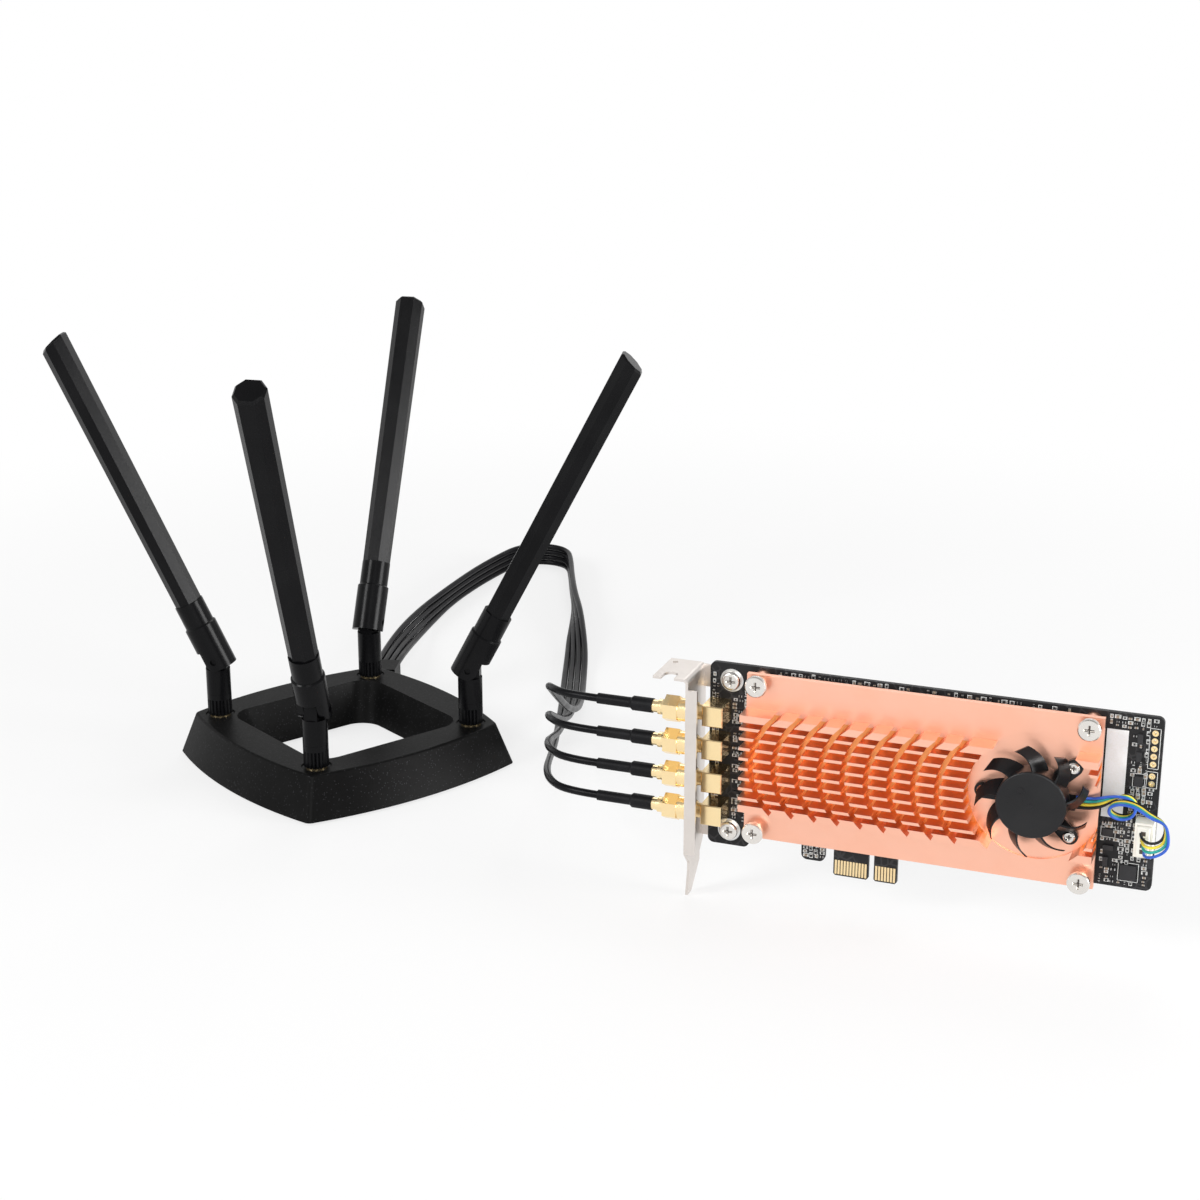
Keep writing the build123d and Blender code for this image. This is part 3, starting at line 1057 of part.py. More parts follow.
for number, (corner, tilt, turn) in ANTENNAS.items():
    place = dock.from_local_coords(
        Vector(SOCKET_CIRCLE * cos(radians(corner)), SOCKET_CIRCLE * sin(radians(corner)), DOCK_HEIGHT)
    )
    lean = radians(DOCK_TURN + corner + turn)
    socket = Plane(place, x_dir=(cos(lean), sin(lean), 0), z_dir=(0, 0, 1))
    rise = radians(tilt)
    pivot = Plane(
        socket.offset(PIVOT).origin,
        x_dir=(cos(rise) * cos(lean), cos(rise) * sin(lean), -sin(rise)),
        z_dir=(sin(rise) * cos(lean), sin(rise) * sin(lean), cos(rise)),
    )
    pin_side = Plane(pivot.origin, x_dir=pivot.x_dir, z_dir=-pivot.y_dir)
    stem_side = Plane(pivot.origin, x_dir=socket.x_dir, z_dir=-socket.y_dir)

    with BuildPart() as antenna_nut:
        with BuildSketch(socket.offset(NUT_LOW)):
            Circle(KNURL_RADIUS)
            with PolarLocations(KNURL_RADIUS, KNURL_TEETH):
                Rectangle(2 * KNURL_DEPTH, 2 * KNURL_DEPTH, rotation=45, mode=Mode.SUBTRACT)
        extrude(amount=KNURL_RIBBED)
        with BuildSketch(socket.offset(NUT_LOW + KNURL_RIBBED)):
            Circle(KNURL_RADIUS)
        extrude(amount=KNURL_TOP - NUT_LOW - KNURL_RIBBED)
        with BuildSketch(socket.offset(NUT_LOW)):
            Circle(SOCKET_THREAD_RADIUS + SOCKET_CLEARANCE)
        extrude(amount=KNURL_TOP - NUT_LOW - SPIGOT_LENGTH, mode=Mode.SUBTRACT)
        with BuildSketch(socket.offset(KNURL_TOP)):
            Circle(SPIGOT_RADIUS + SPIGOT_CLEARANCE)
        extrude(amount=-SPIGOT_LENGTH, mode=Mode.SUBTRACT)
    save(antenna_nut, f"antenna_{number}_nut")

    with BuildPart() as antenna_stem:
        with BuildSketch(socket.offset(STEM_LOW)):
            Circle(STEM_RADIUS)
        extrude(amount=STEM_HEIGHT)
        with BuildSketch(socket.offset(STEM_LOW)):
            Circle(SPIGOT_RADIUS)
        extrude(amount=-SPIGOT_LENGTH - 2 * STEM_GAP)
        with BuildSketch(socket.offset(STEM_LOW - SPIGOT_LENGTH - 2 * STEM_GAP)):
            Circle(SPIGOT_FLANGE)
        extrude(amount=-SPIGOT_FLANGE_HEIGHT)
        with BuildSketch(stem_side):
            Circle(TONGUE_REACH)
            Rectangle(2 * TONGUE_REACH, TONGUE_REACH, align=(Align.CENTER, Align.MAX))
            Circle(PIN_RADIUS + PIN_CLEARANCE, mode=Mode.SUBTRACT)
        extrude(amount=TONGUE_THICKNESS / 2, both=True)
    save(antenna_stem, f"antenna_{number}_stem")

    with BuildPart() as antenna_pin:
        with BuildSketch(pin_side):
            Circle(PIN_RADIUS)
        extrude(amount=PIN_HALF, both=True)
    save(antenna_pin, f"antenna_{number}_pin")

    with BuildPart() as antenna_sleeve:
        with BuildSketch(pivot.offset(SLEEVE_LOW)):
            Circle(SLEEVE_RADIUS)
        extrude(amount=SLEEVE_LENGTH - SLEEVE_LOW)
        rim = antenna_sleeve.faces().sort_by_distance(pivot.offset(SLEEVE_LENGTH).origin)[0]
        chamfer(rim.edges(), SLEEVE_CHAMFER)
        reach = TONGUE_REACH + HINGE_END_GAP
        with BuildSketch(pin_side):
            with Locations((-reach, 0)):
                Rectangle(reach + SLEEVE_RADIUS, 2 * reach, align=(Align.MIN, Align.CENTER))
        extrude(amount=TONGUE_THICKNESS / 2 + HINGE_SIDE_GAP, both=True, mode=Mode.SUBTRACT)
        with BuildSketch(pin_side):
            Rectangle(SLEEVE_RADIUS, 2 * STEM_RADIUS + HINGE_END_GAP, align=(Align.MIN, Align.CENTER))
            Circle(-SLEEVE_LOW, mode=Mode.SUBTRACT)
            Rectangle(-SLEEVE_LOW, SLEEVE_RADIUS, align=Align.MIN, mode=Mode.SUBTRACT)
        extrude(amount=SLEEVE_RADIUS, both=True, mode=Mode.SUBTRACT)
        with BuildSketch(pin_side):
            Circle(PIN_RADIUS)
        extrude(amount=SLEEVE_RADIUS, both=True, mode=Mode.SUBTRACT)
        with BuildSketch(pivot.offset(SLEEVE_LENGTH)):
            Circle(PLUG_IN_RADIUS + PLUG_IN_CLEARANCE)
        extrude(amount=-PLUG_IN_LENGTH - PLUG_IN_CLEARANCE, mode=Mode.SUBTRACT)
    save(antenna_sleeve, f"antenna_{number}_sleeve")

    with BuildPart() as antenna_blade:
        with BuildSketch(pivot.offset(SLEEVE_LENGTH)):
            Circle(PLUG_IN_RADIUS)
        extrude(amount=-PLUG_IN_LENGTH)
        with BuildSketch(pivot.offset(SLEEVE_LENGTH)):
            Circle(COLLAR_RADIUS)
        extrude(amount=COLLAR_LENGTH)
        loft([
            blade_section(pivot.offset(COLLAR_TOP), BLADE_FOOT_WIDTH, BLADE_FOOT_DEPTH),
            blade_section(pivot.offset(BLADE_LENGTH + BLADE_HEAD_DEPTH), BLADE_HEAD_WIDTH, BLADE_HEAD_DEPTH),
        ])
        slope = radians(BLADE_HEAD_SLOPE)
        tip = pivot.offset(BLADE_LENGTH).origin
        end_face = Plane(tip, z_dir=pivot.z_dir * cos(slope) + pivot.x_dir * sin(slope))
        split(bisect_by=end_face, keep=Keep.BOTTOM)
        head = antenna_blade.faces().sort_by_distance(tip)[0]
        chamfer(head.edges(), BLADE_HEAD_CHAMFER)
    save(antenna_blade, f"antenna_{number}_blade")
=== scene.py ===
"""Looks of a wireless expansion card, its coax cables and its antenna dock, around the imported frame."""

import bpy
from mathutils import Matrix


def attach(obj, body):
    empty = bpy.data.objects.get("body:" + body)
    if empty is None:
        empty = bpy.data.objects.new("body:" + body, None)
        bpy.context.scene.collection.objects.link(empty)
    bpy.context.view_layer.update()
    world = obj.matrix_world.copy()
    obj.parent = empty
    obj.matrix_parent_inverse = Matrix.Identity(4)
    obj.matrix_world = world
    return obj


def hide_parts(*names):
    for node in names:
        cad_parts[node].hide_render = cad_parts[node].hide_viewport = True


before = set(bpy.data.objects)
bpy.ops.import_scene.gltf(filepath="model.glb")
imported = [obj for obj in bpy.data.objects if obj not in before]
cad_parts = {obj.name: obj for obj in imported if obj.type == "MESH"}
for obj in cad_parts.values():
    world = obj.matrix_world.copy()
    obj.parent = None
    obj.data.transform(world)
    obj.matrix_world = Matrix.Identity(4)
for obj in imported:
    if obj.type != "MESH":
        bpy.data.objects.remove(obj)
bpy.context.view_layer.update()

import logging
from dataclasses import dataclass, field
from enum import Enum
from functools import cache
from math import cos, radians, sin, tau
from typing import Any, Callable, Sequence

import bpy
import numpy as np
from mathutils import Vector

log = logging.getLogger("wireless_card")
logging.basicConfig(level=logging.INFO, format="%(name)s: %(message)s")

MM = 0.001
ROOT_BODY = "card_and_dock"
Colour = tuple[float, float, float]
Place = tuple[float, float, float]
Stop = tuple[float, float, float, float, float, float]

# Places in the row frame, in millimetres, as in the part's source
BOARD_CORNER = np.array([63.30, -69.09, 12.0])
BOARD_LENGTH = 145.0
BOARD_THICKNESS = 1.6
DOCK_MIDDLE = (-103.70, -8.69)
DOCK_TURN = 15.2
JACK_HEIGHTS = (53.15, 41.6, 30.05, 18.5)
JACK_AXIS = 6.0
BOOT_END = -37.05
BRACKET_FACE = -3.43
CORD_SPACING = 2.7
WIRE_SPACING = 1.15
COAX_DIAMETER = 2.6
WIRE_DIAMETER = 0.9
BRACKET_SCREWS = ((7.4, 10.4), (7.4, 63.2))
FAN_MIDDLE = (108.2, 39.7)
SOCKET = (BOARD_LENGTH - 3.0, 30.2)
SOCKET_PINS = (-3, -1, 1, 3)


def on_board(points: Any) -> np.ndarray:
    """Carry points given along, up and out from the board's corner into the row frame.

    Args:
        points: millimetres, shape (..., 3): along the board, up it, and out from its component face.

    Returns:
        Metres in the row frame, same shape.
    """
    along, up, out = np.moveaxis(np.asarray(points, float), -1, 0)
    return (BOARD_CORNER + np.stack([along, -out, up], -1)) * MM


class Term:
    """A shader socket that takes part in arithmetic: every operator adds one Math node."""

    def __init__(self, shader: "Shader", socket: bpy.types.NodeSocket) -> None:
        """Wrap an output socket of a shader's tree."""
        self.shader = shader
        self.socket = socket

    def _math(self, operation: str, left: Any, right: Any) -> "Term":
        """Join two values with a Math node."""
        return self.shader.node("ShaderNodeMath", {"operation": operation}, {0: left, 1: right})

    def __add__(self, other: Any) -> "Term":
        """Sum."""
        return self._math("ADD", self, other)

    def __radd__(self, other: Any) -> "Term":
        """Sum, reflected."""
        return self._math("ADD", other, self)

    def __sub__(self, other: Any) -> "Term":
        """Difference."""
        return self._math("SUBTRACT", self, other)

    def __rsub__(self, other: Any) -> "Term":
        """Difference, reflected."""
        return self._math("SUBTRACT", other, self)

    def __mul__(self, other: Any) -> "Term":
        """Product."""
        return self._math("MULTIPLY", self, other)

    def __rmul__(self, other: Any) -> "Term":
        """Product, reflected."""
        return self._math("MULTIPLY", other, self)

    def __gt__(self, other: Any) -> "Term":
        """One where the left side is larger, else nought."""
        return self._math("GREATER_THAN", self, other)

    def __lt__(self, other: Any) -> "Term":
        """One where the left side is smaller, else nought."""
        return self._math("LESS_THAN", self, other)

    def ramp(self, low: float, high: float) -> "Term":
        """Nought below low, one above high and a smooth step between them."""
        return self.shader.node(
            "ShaderNodeMapRange",
            {"interpolation_type": "SMOOTHSTEP"},
            {"Value": self, "From Min": low, "From Max": high},
        )


class Shader:
    """Writer of one node tree."""

    def __init__(self, owner: Any) -> None:
        """Empty the node tree of a material or a world."""
        owner.use_nodes = True
        self.tree = owner.node_tree
        self.tree.nodes.clear()

    def node(self, kind: str, settings: dict[str, Any], inputs: dict[Any, Any], output: Any = 0) -> Term:
        """Add a node.

        Args:
            kind: the node's type name.
            settings: attributes of the node, set before its sockets.
            inputs: socket name or number to a plain value or a Term.
            output: which output the returned Term holds.

        Returns:
            The chosen output.
        """
        node = self.tree.nodes.new(kind)
        for key, value in settings.items():
            setattr(node, key, value)
        for key, value in inputs.items():
            if isinstance(value, Term):
                self.tree.links.new(value.socket, node.inputs[key])
            else:
                node.inputs[key].default_value = value
        return Term(self, node.outputs[output])

    def coordinates(self, scale: Sequence[float] = (1, 1, 1)) -> Term:
        """Object coordinates, stretched."""
        place = self.node("ShaderNodeTexCoord", {}, {}, "Object")
        return self.node("ShaderNodeMapping", {}, {"Vector": place, "Scale": scale})

    def noise(self, vector: Term, scale: float, detail: float = 2.0, rough: float = 0.5) -> Term:
        """Fractal noise from nought to one."""
        return self.node(
            "ShaderNodeTexNoise",
            {},
            {"Vector": vector, "Scale": scale, "Detail": detail, "Roughness": rough},
        )

    def cells(self, vector: Term, scale: float, feature: str = "F1", output: str = "Distance") -> Term:
        """Cell pattern."""
        inputs = {"Vector": vector, "Scale": scale}
        return self.node("ShaderNodeTexVoronoi", {"feature": feature}, inputs, output)

    def blend(self, share: Any, first: Any, second: Any) -> Term:
        """Mix of two colours."""
        whole = [(*c, 1) if isinstance(c, tuple) else c for c in (first, second)]
        return self.node(
            "ShaderNodeMix",
            {"data_type": "RGBA"},
            {"Factor": share, 6: whole[0], 7: whole[1]},
            2,
        )

    def bump(self, height: Term, depth: float) -> Term:
        """Normal from a height of nought to one that stands for a depth in metres."""
        return self.node("ShaderNodeBump", {}, {"Height": height, "Distance": depth, "Strength": 1.0})

    def finish(self, kind: str, surface: Term) -> None:
        """Join a surface to the tree's output node."""
        out = self.tree.nodes.new(kind)
        self.tree.links.new(surface.socket, out.inputs["Surface"])

    def surface(self, **inputs: Any) -> None:
        """Finish the material with a Principled shader; underscores in names stand for blanks."""
        named = {key.replace("_", " "): value for key, value in inputs.items()}
        self.finish("ShaderNodeOutputMaterial", self.node("ShaderNodeBsdfPrincipled", {}, named))


@dataclass(frozen=True)
class Finish:
    """A surface finish that makes its own material once."""

    name: str
    colour: Colour
    roughness: float

    def paint(self, shader: Shader) -> None:
        """Fill the shader's tree."""
        raise NotImplementedError

    @cache
    def material(self) -> bpy.types.Material:
        """The finish's material, made at its first use."""
        made = bpy.data.materials.new(f"{self.name}_finish")
        self.paint(Shader(made))
        return made


@dataclass(frozen=True)
class Metal(Finish):
    """Bare or plated metal with a drawn grain, faint clouding and small handling marks."""

    shade: Colour = (0.5, 0.5, 0.5)
    grain: tuple[float, float, float] = (1.0, 1.0, 1.0)
    fineness: float = 3000.0
    grain_depth: float = 0.000004
    clouding: float = 0.35

    def paint(self, shader: Shader) -> None:
        """Two stretched noises give the grain, a broad one the clouding between colour and shade."""
        along = shader.coordinates(self.grain)
        grain = shader.noise(along, self.fineness, 3.0)
        cloud = shader.noise(shader.coordinates(), 90.0, 3.0, 0.6)
        marks = shader.noise(along, self.fineness * 0.22, 4.0, 0.7)
        colour = shader.blend(cloud.ramp(0.35, 0.75) * self.clouding, self.colour, self.shade)
        rough = self.roughness + (grain - 0.5) * 0.22 + (marks - 0.5) * 0.16
        shader.surface(
            Base_Color=self.tint(shader, colour),
            Metallic=1.0,
            Roughness=rough,
            Normal=shader.bump(grain, self.grain_depth),
        )

    def tint(self, shader: Shader, colour: Term) -> Term:
        """Last change to the colour: none on plain metal."""
        return colour


@dataclass(frozen=True)
class FinsWithPaintedShade(Metal):
    """Dyed metal with painted shade: its colour deepens from the fins' tips to their roots, where shade falls
    between the fins.
    """

    # painted shade: the colour at the fins' roots, where shade falls between them
    painted_shade_colour: Colour = (0.86, 0.37, 0.13)
    tips: float = 12.5
    roots: float = 5.0
    middle: float = 39.7
    half_width: float = 15.4
    pocket_floor: float = 4.4

    def tint(self, shader: Shader, colour: Term) -> Term:
        """Blend towards the painted shade colour from the fins' tips to their roots, inside the finned band
        only.

        Args:
            shader: the tree to write to.
            colour: the colour at the tips.

        Returns:
            The blended colour.
        """
        place = shader.coordinates()
        y, z = (shader.node("ShaderNodeSeparateXYZ", {}, {0: place}, axis) for axis in "YZ")
        out = BOARD_CORNER[1] - y * (1 / MM)
        up = z * (1 / MM) - BOARD_CORNER[2]
        band = (up > self.middle - self.half_width) * (up < self.middle + self.half_width)
        above = out > (self.pocket_floor + self.roots) / 2
        # painted shade: the share of the shade colour grows from the fins' tips down to their roots
        share = 1 - out.ramp(self.roots - 1.0, self.tips)
        return shader.blend(band * above * share, colour, self.painted_shade_colour)


@dataclass(frozen=True)
class Moulded(Finish):
    """Moulded plastic: fine spark-eroded grain, soft clouding and, if asked for, pale flecks."""

    shade: Colour = (0.05, 0.05, 0.05)
    grain: float = 1500.0
    grain_depth: float = 0.00003
    flecks: float = 0.0
    fleck_size: float = 900.0
    fleck_colour: Colour = (0.3, 0.3, 0.3)
    mirror: float = 0.3

    def paint(self, shader: Shader) -> None:
        """Cell noise makes the grain; the smallest cells of a second one become flecks."""
        place = shader.coordinates()
        grain = shader.noise(place, self.grain, 3.0, 0.6)
        cloud = shader.noise(place, 60.0, 3.0)
        colour = shader.blend(cloud.ramp(0.3, 0.8), self.colour, self.shade)
        rough = self.roughness + (grain - 0.5) * 0.2 + (cloud - 0.5) * 0.12
        if self.flecks:
            tone = shader.cells(place, self.fleck_size, "F1", "Color")
            chance = shader.node("ShaderNodeSeparateColor", {}, {0: tone})
            dot = shader.cells(place, self.fleck_size) < 0.42
            colour = shader.blend((chance < self.flecks) * dot, colour, self.fleck_colour)
        shader.surface(
            Base_Color=colour,
            Roughness=rough,
            Specular_IOR_Level=self.mirror,
            Normal=shader.bump(grain, self.grain_depth),
        )


@dataclass(frozen=True)
class SolderMask(Finish):
    """Dark solder mask with the tracks under it showing as faint raised lines."""

    track: Colour = (0.03, 0.03, 0.032)

    def paint(self, shader: Shader) -> None:
        """Edges of cells are the tracks, cut off where a broad noise is low."""
        place = shader.coordinates()
        edge = shader.cells(place, 330.0, "DISTANCE_TO_EDGE")
        area = shader.noise(place, 70.0, 1.0).ramp(0.42, 0.5)
        track = (1 - edge.ramp(0.05, 0.09)) * area
        grain = shader.noise(place, 2600.0, 2.0)
        colour = shader.blend(track, self.colour, self.track)
        shader.surface(
            Base_Color=colour,
            Roughness=self.roughness + (grain - 0.5) * 0.12 - track * 0.08,
            Specular_IOR_Level=0.25,
            Normal=shader.bump(track * 0.8 + grain * 0.12, 0.00003),
        )


@dataclass(frozen=True)
class Jacket(Finish):
    """Soft insulation of a cord: satin, with faint scuffs and, where shrunk on, ripples around it."""

    ripple: float = 0.0
    mirror: float = 0.3

    def paint(self, shader: Shader) -> None:
        """A broad noise wavers the gloss, a fine one gives the skin, one drawn out across X the ripples."""
        place = shader.coordinates()
        skin = shader.noise(place, 2500.0, 2.0)
        wave = shader.noise(place, 120.0, 2.0)
        ripples = shader.noise(shader.coordinates((1, 0.06, 0.06)), 700.0, 2.0)
        pale = tuple(min(1.0, c * 1.6 + 0.003) for c in self.colour)
        shader.surface(
            Base_Color=shader.blend(wave.ramp(0.45, 0.8), self.colour, pale),
            Roughness=self.roughness + (wave - 0.5) * 0.25 + (skin - 0.5) * 0.1,
            Specular_IOR_Level=self.mirror,
            Normal=shader.bump(skin * 0.1 + ripples * self.ripple, 0.0001),
        )


@dataclass(frozen=True)
class Paper(Finish):
    """Coated paper sticker with a fibrous tint."""

    def paint(self, shader: Shader) -> None:
        """Fine and broad noise tint the white."""
        place = shader.coordinates()
        fibre = shader.noise(place, 1800.0, 4.0, 0.7)
        warm = tuple(c * w for c, w in zip(self.colour, (0.95, 0.94, 0.9)))
        shader.surface(
            Base_Color=shader.blend(fibre.ramp(0.4, 0.75), self.colour, warm),
            Roughness=self.roughness + (fibre - 0.5) * 0.15,
            Normal=shader.bump(fibre, 0.000006),
        )


class Finishes(Enum):
    """Every finish of the object by its use."""

    BOARD = SolderMask("board_mask", (0.012, 0.012, 0.013), 0.5)
    GOLD = Metal(
        "gold_plate", (0.98, 0.77, 0.44), 0.22, shade=(0.92, 0.66, 0.32), grain_depth=0.000001, clouding=0.2
    )
    NICKEL = Metal("satin_nickel", (0.74, 0.69, 0.65), 0.34, shade=(0.62, 0.57, 0.53), grain=(1, 1, 0.06))
    SCREW = Metal("bright_zinc", (0.80, 0.77, 0.73), 0.24, shade=(0.62, 0.60, 0.57), fineness=2600.0)
    # the heat sink's colour carries painted shade between its fins
    SINK = FinsWithPaintedShade(
        "copper_anodised", (0.96, 0.53, 0.39), 0.36, shade=(0.94, 0.47, 0.32), grain=(0.05, 1, 1),
        fineness=2200.0,
    )
    FAN = Moulded(
        "fan_plastic", (0.008, 0.008, 0.009), 0.32, shade=(0.013, 0.013, 0.014), grain_depth=0.000008,
        mirror=0.26,
    )
    WHITE = Moulded("white_nylon", (0.82, 0.80, 0.74), 0.45, shade=(0.74, 0.72, 0.65), grain_depth=0.00001)
    LABEL = Paper("label_paper", (0.80, 0.82, 0.84), 0.55)
    CHIP = Moulded("chip_epoxy", (0.022, 0.022, 0.024), 0.55, shade=(0.03, 0.03, 0.032), grain=3000.0)
    TIN = Metal("tin_plate", (0.74, 0.74, 0.73), 0.34, shade=(0.58, 0.58, 0.58), fineness=2600.0)
    PAD = Moulded("thermal_pad", (0.42, 0.45, 0.50), 0.8, shade=(0.36, 0.39, 0.44))
    STEEL = Metal("ground_steel", (0.60, 0.60, 0.61), 0.3, shade=(0.48, 0.48, 0.5), grain=(1, 0.1, 1))
    DARK_STEEL = Metal("core_steel", (0.24, 0.24, 0.25), 0.45, shade=(0.16, 0.16, 0.17))
    BLUE = Jacket("wire_blue", (0.03, 0.10, 0.48), 0.42)
    GREEN = Jacket("wire_green", (0.02, 0.30, 0.26), 0.42)
    YELLOW = Jacket("wire_yellow", (0.72, 0.55, 0.05), 0.42)
    BLACK_WIRE = Jacket("wire_black", (0.008, 0.008, 0.009), 0.42)
    CABLE = Jacket("coax_jacket", (0.004, 0.004, 0.005), 0.32, mirror=0.1)
    BOOT = Jacket("boot_sleeve", (0.006, 0.006, 0.007), 0.44, ripple=0.6, mirror=0.12)
    DOCK = Moulded(
        "dock_plastic", (0.004, 0.004, 0.004), 0.40, shade=(0.007, 0.007, 0.007), grain=1300.0,
        grain_depth=0.00003, flecks=0.1, fleck_size=1900.0, fleck_colour=(0.022, 0.022, 0.024), mirror=0.05,
    )
    RUBBER = Moulded("foot_rubber", (0.03, 0.03, 0.03), 0.8, shade=(0.04, 0.04, 0.04))
    ANTENNA = Moulded(
        "antenna_plastic", (0.003, 0.003, 0.0035), 0.24, shade=(0.005, 0.005, 0.0055), grain_depth=0.000006,
        mirror=0.1,
    )
    CERAMIC = Moulded("ceramic_part", (0.30, 0.24, 0.18), 0.5, shade=(0.22, 0.17, 0.13), grain=4000.0)
    RESISTOR = Moulded(
        "resistor_glaze", (0.016, 0.016, 0.017), 0.35, shade=(0.025, 0.025, 0.026), grain=4000.0
    )
    PRINT = Paper("white_print", (0.80, 0.81, 0.80), 0.6)
    # painted shade: a dark colour laid on the screws' recess floors and the plug's wire entries
    RECESS_SHADE = Metal("recess_shadow", (0.13, 0.11, 0.10), 0.6, shade=(0.08, 0.07, 0.06))
    SOLDER = Metal("solder", (0.72, 0.72, 0.71), 0.28, shade=(0.55, 0.55, 0.55), fineness=3500.0)


NODE_FINISHES: dict[Finishes, tuple[str, ...]] = {
    Finishes.BOARD: ("pcb",),
    Finishes.GOLD: (
        "edge_contacts", "sma_jacks", "plug_nuts", "plug_1", "plug_2", "plug_3", "plug_4", "dock_jacks",
        "fan_bearing",
    ),
    Finishes.NICKEL: ("bracket",),
    Finishes.SCREW: ("bracket_screws", "heat_sink_screws", "fan_screws", "dock_screws"),
    Finishes.SINK: ("heat_sink", "standoffs"),
    Finishes.FAN: ("fan_base", "fan_rotor"),
    Finishes.WHITE: ("fan_plug", "fan_header"),
    Finishes.LABEL: ("label",),
    Finishes.CHIP: ("board_chips",),
    Finishes.TIN: ("radio_shields",),
    Finishes.PAD: ("thermal_pads",),
    Finishes.STEEL: ("fan_shaft",),
    Finishes.DARK_STEEL: ("fan_stator", "fan_magnet"),
    Finishes.BOOT: ("boots",),
    Finishes.DOCK: ("dock_housing", "dock_bottom"),
    Finishes.RUBBER: ("dock_feet",),
    Finishes.ANTENNA: tuple(
        f"antenna_{n}_{piece}" for n in (1, 2, 3, 4) for piece in ("nut", "stem", "pin", "sleeve", "blade")
    ),
}


def dress_nodes() -> None:
    """Give every solid of the frame its finish."""
    for finish, nodes in NODE_FINISHES.items():
        for node in nodes:
            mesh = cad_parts[node].data
            mesh.materials.clear()
            mesh.materials.append(finish.value.material())
            log.info("dressed %s in %s", node, finish.value.name)


def strand(route: Sequence[Stop], offset: float, end_rise: float = 0.0) -> np.ndarray:
    """Points of one strand of a band of cords, worked out for all stops at once.

    A strand lies beside the band's middle by its offset times the spacing, along the band's width.
    That width turns from level to upright with the lean, and the share draws the strand to its own
    end's height.

    Args:
        route: stops of the band: place, rise, lean in degrees, spacing and share.
        offset: the strand's place in the band, in spacings from the middle.
        end_rise: the height where the strand ends.

    Returns:
        One point for each stop, in the route's own millimetres.
    """
    x, y, rise, lean, spacing, share = np.array(route, float).T
    ahead = np.r_[1:len(x), len(x) - 1]
    behind = np.r_[0, 0:len(x) - 1]
    heading = np.arctan2(y[ahead] - y[behind], x[ahead] - x[behind])
    across = offset * spacing
    flat = across * np.cos(np.radians(lean))
    height = rise + across * np.sin(np.radians(lean))
    return np.stack(
        [x - flat * np.sin(heading), y + flat * np.cos(heading), height + share * (end_rise - height)], -1
    )


def round_cord(name: str, points: np.ndarray, diameter: float, finish: Finishes) -> bpy.types.Object:
    """Round cord on a smooth spline whose control points are the route's.

    Args:
        name: the piece's name.
        points: route in metres, shape (n, 3).
        diameter: metres.
        finish: its insulation.

    Returns:
        The curve object.
    """
    curve = bpy.data.curves.new(name, "CURVE")
    curve.dimensions = "3D"
    spline = curve.splines.new("NURBS")
    spline.points.add(len(points) - 1)
    spline.points.foreach_set("co", np.c_[points, np.ones(len(points))].ravel())
    spline.order_u = 3
    spline.use_endpoint_u = True
    spline.resolution_u = 6
    curve.bevel_depth = diameter / 2
    curve.bevel_resolution = 3
    curve.use_fill_caps = True
    curve.materials.append(finish.value.material())
    cord = bpy.data.objects.new(name, curve)
    bpy.context.scene.collection.objects.link(cord)
    return cord


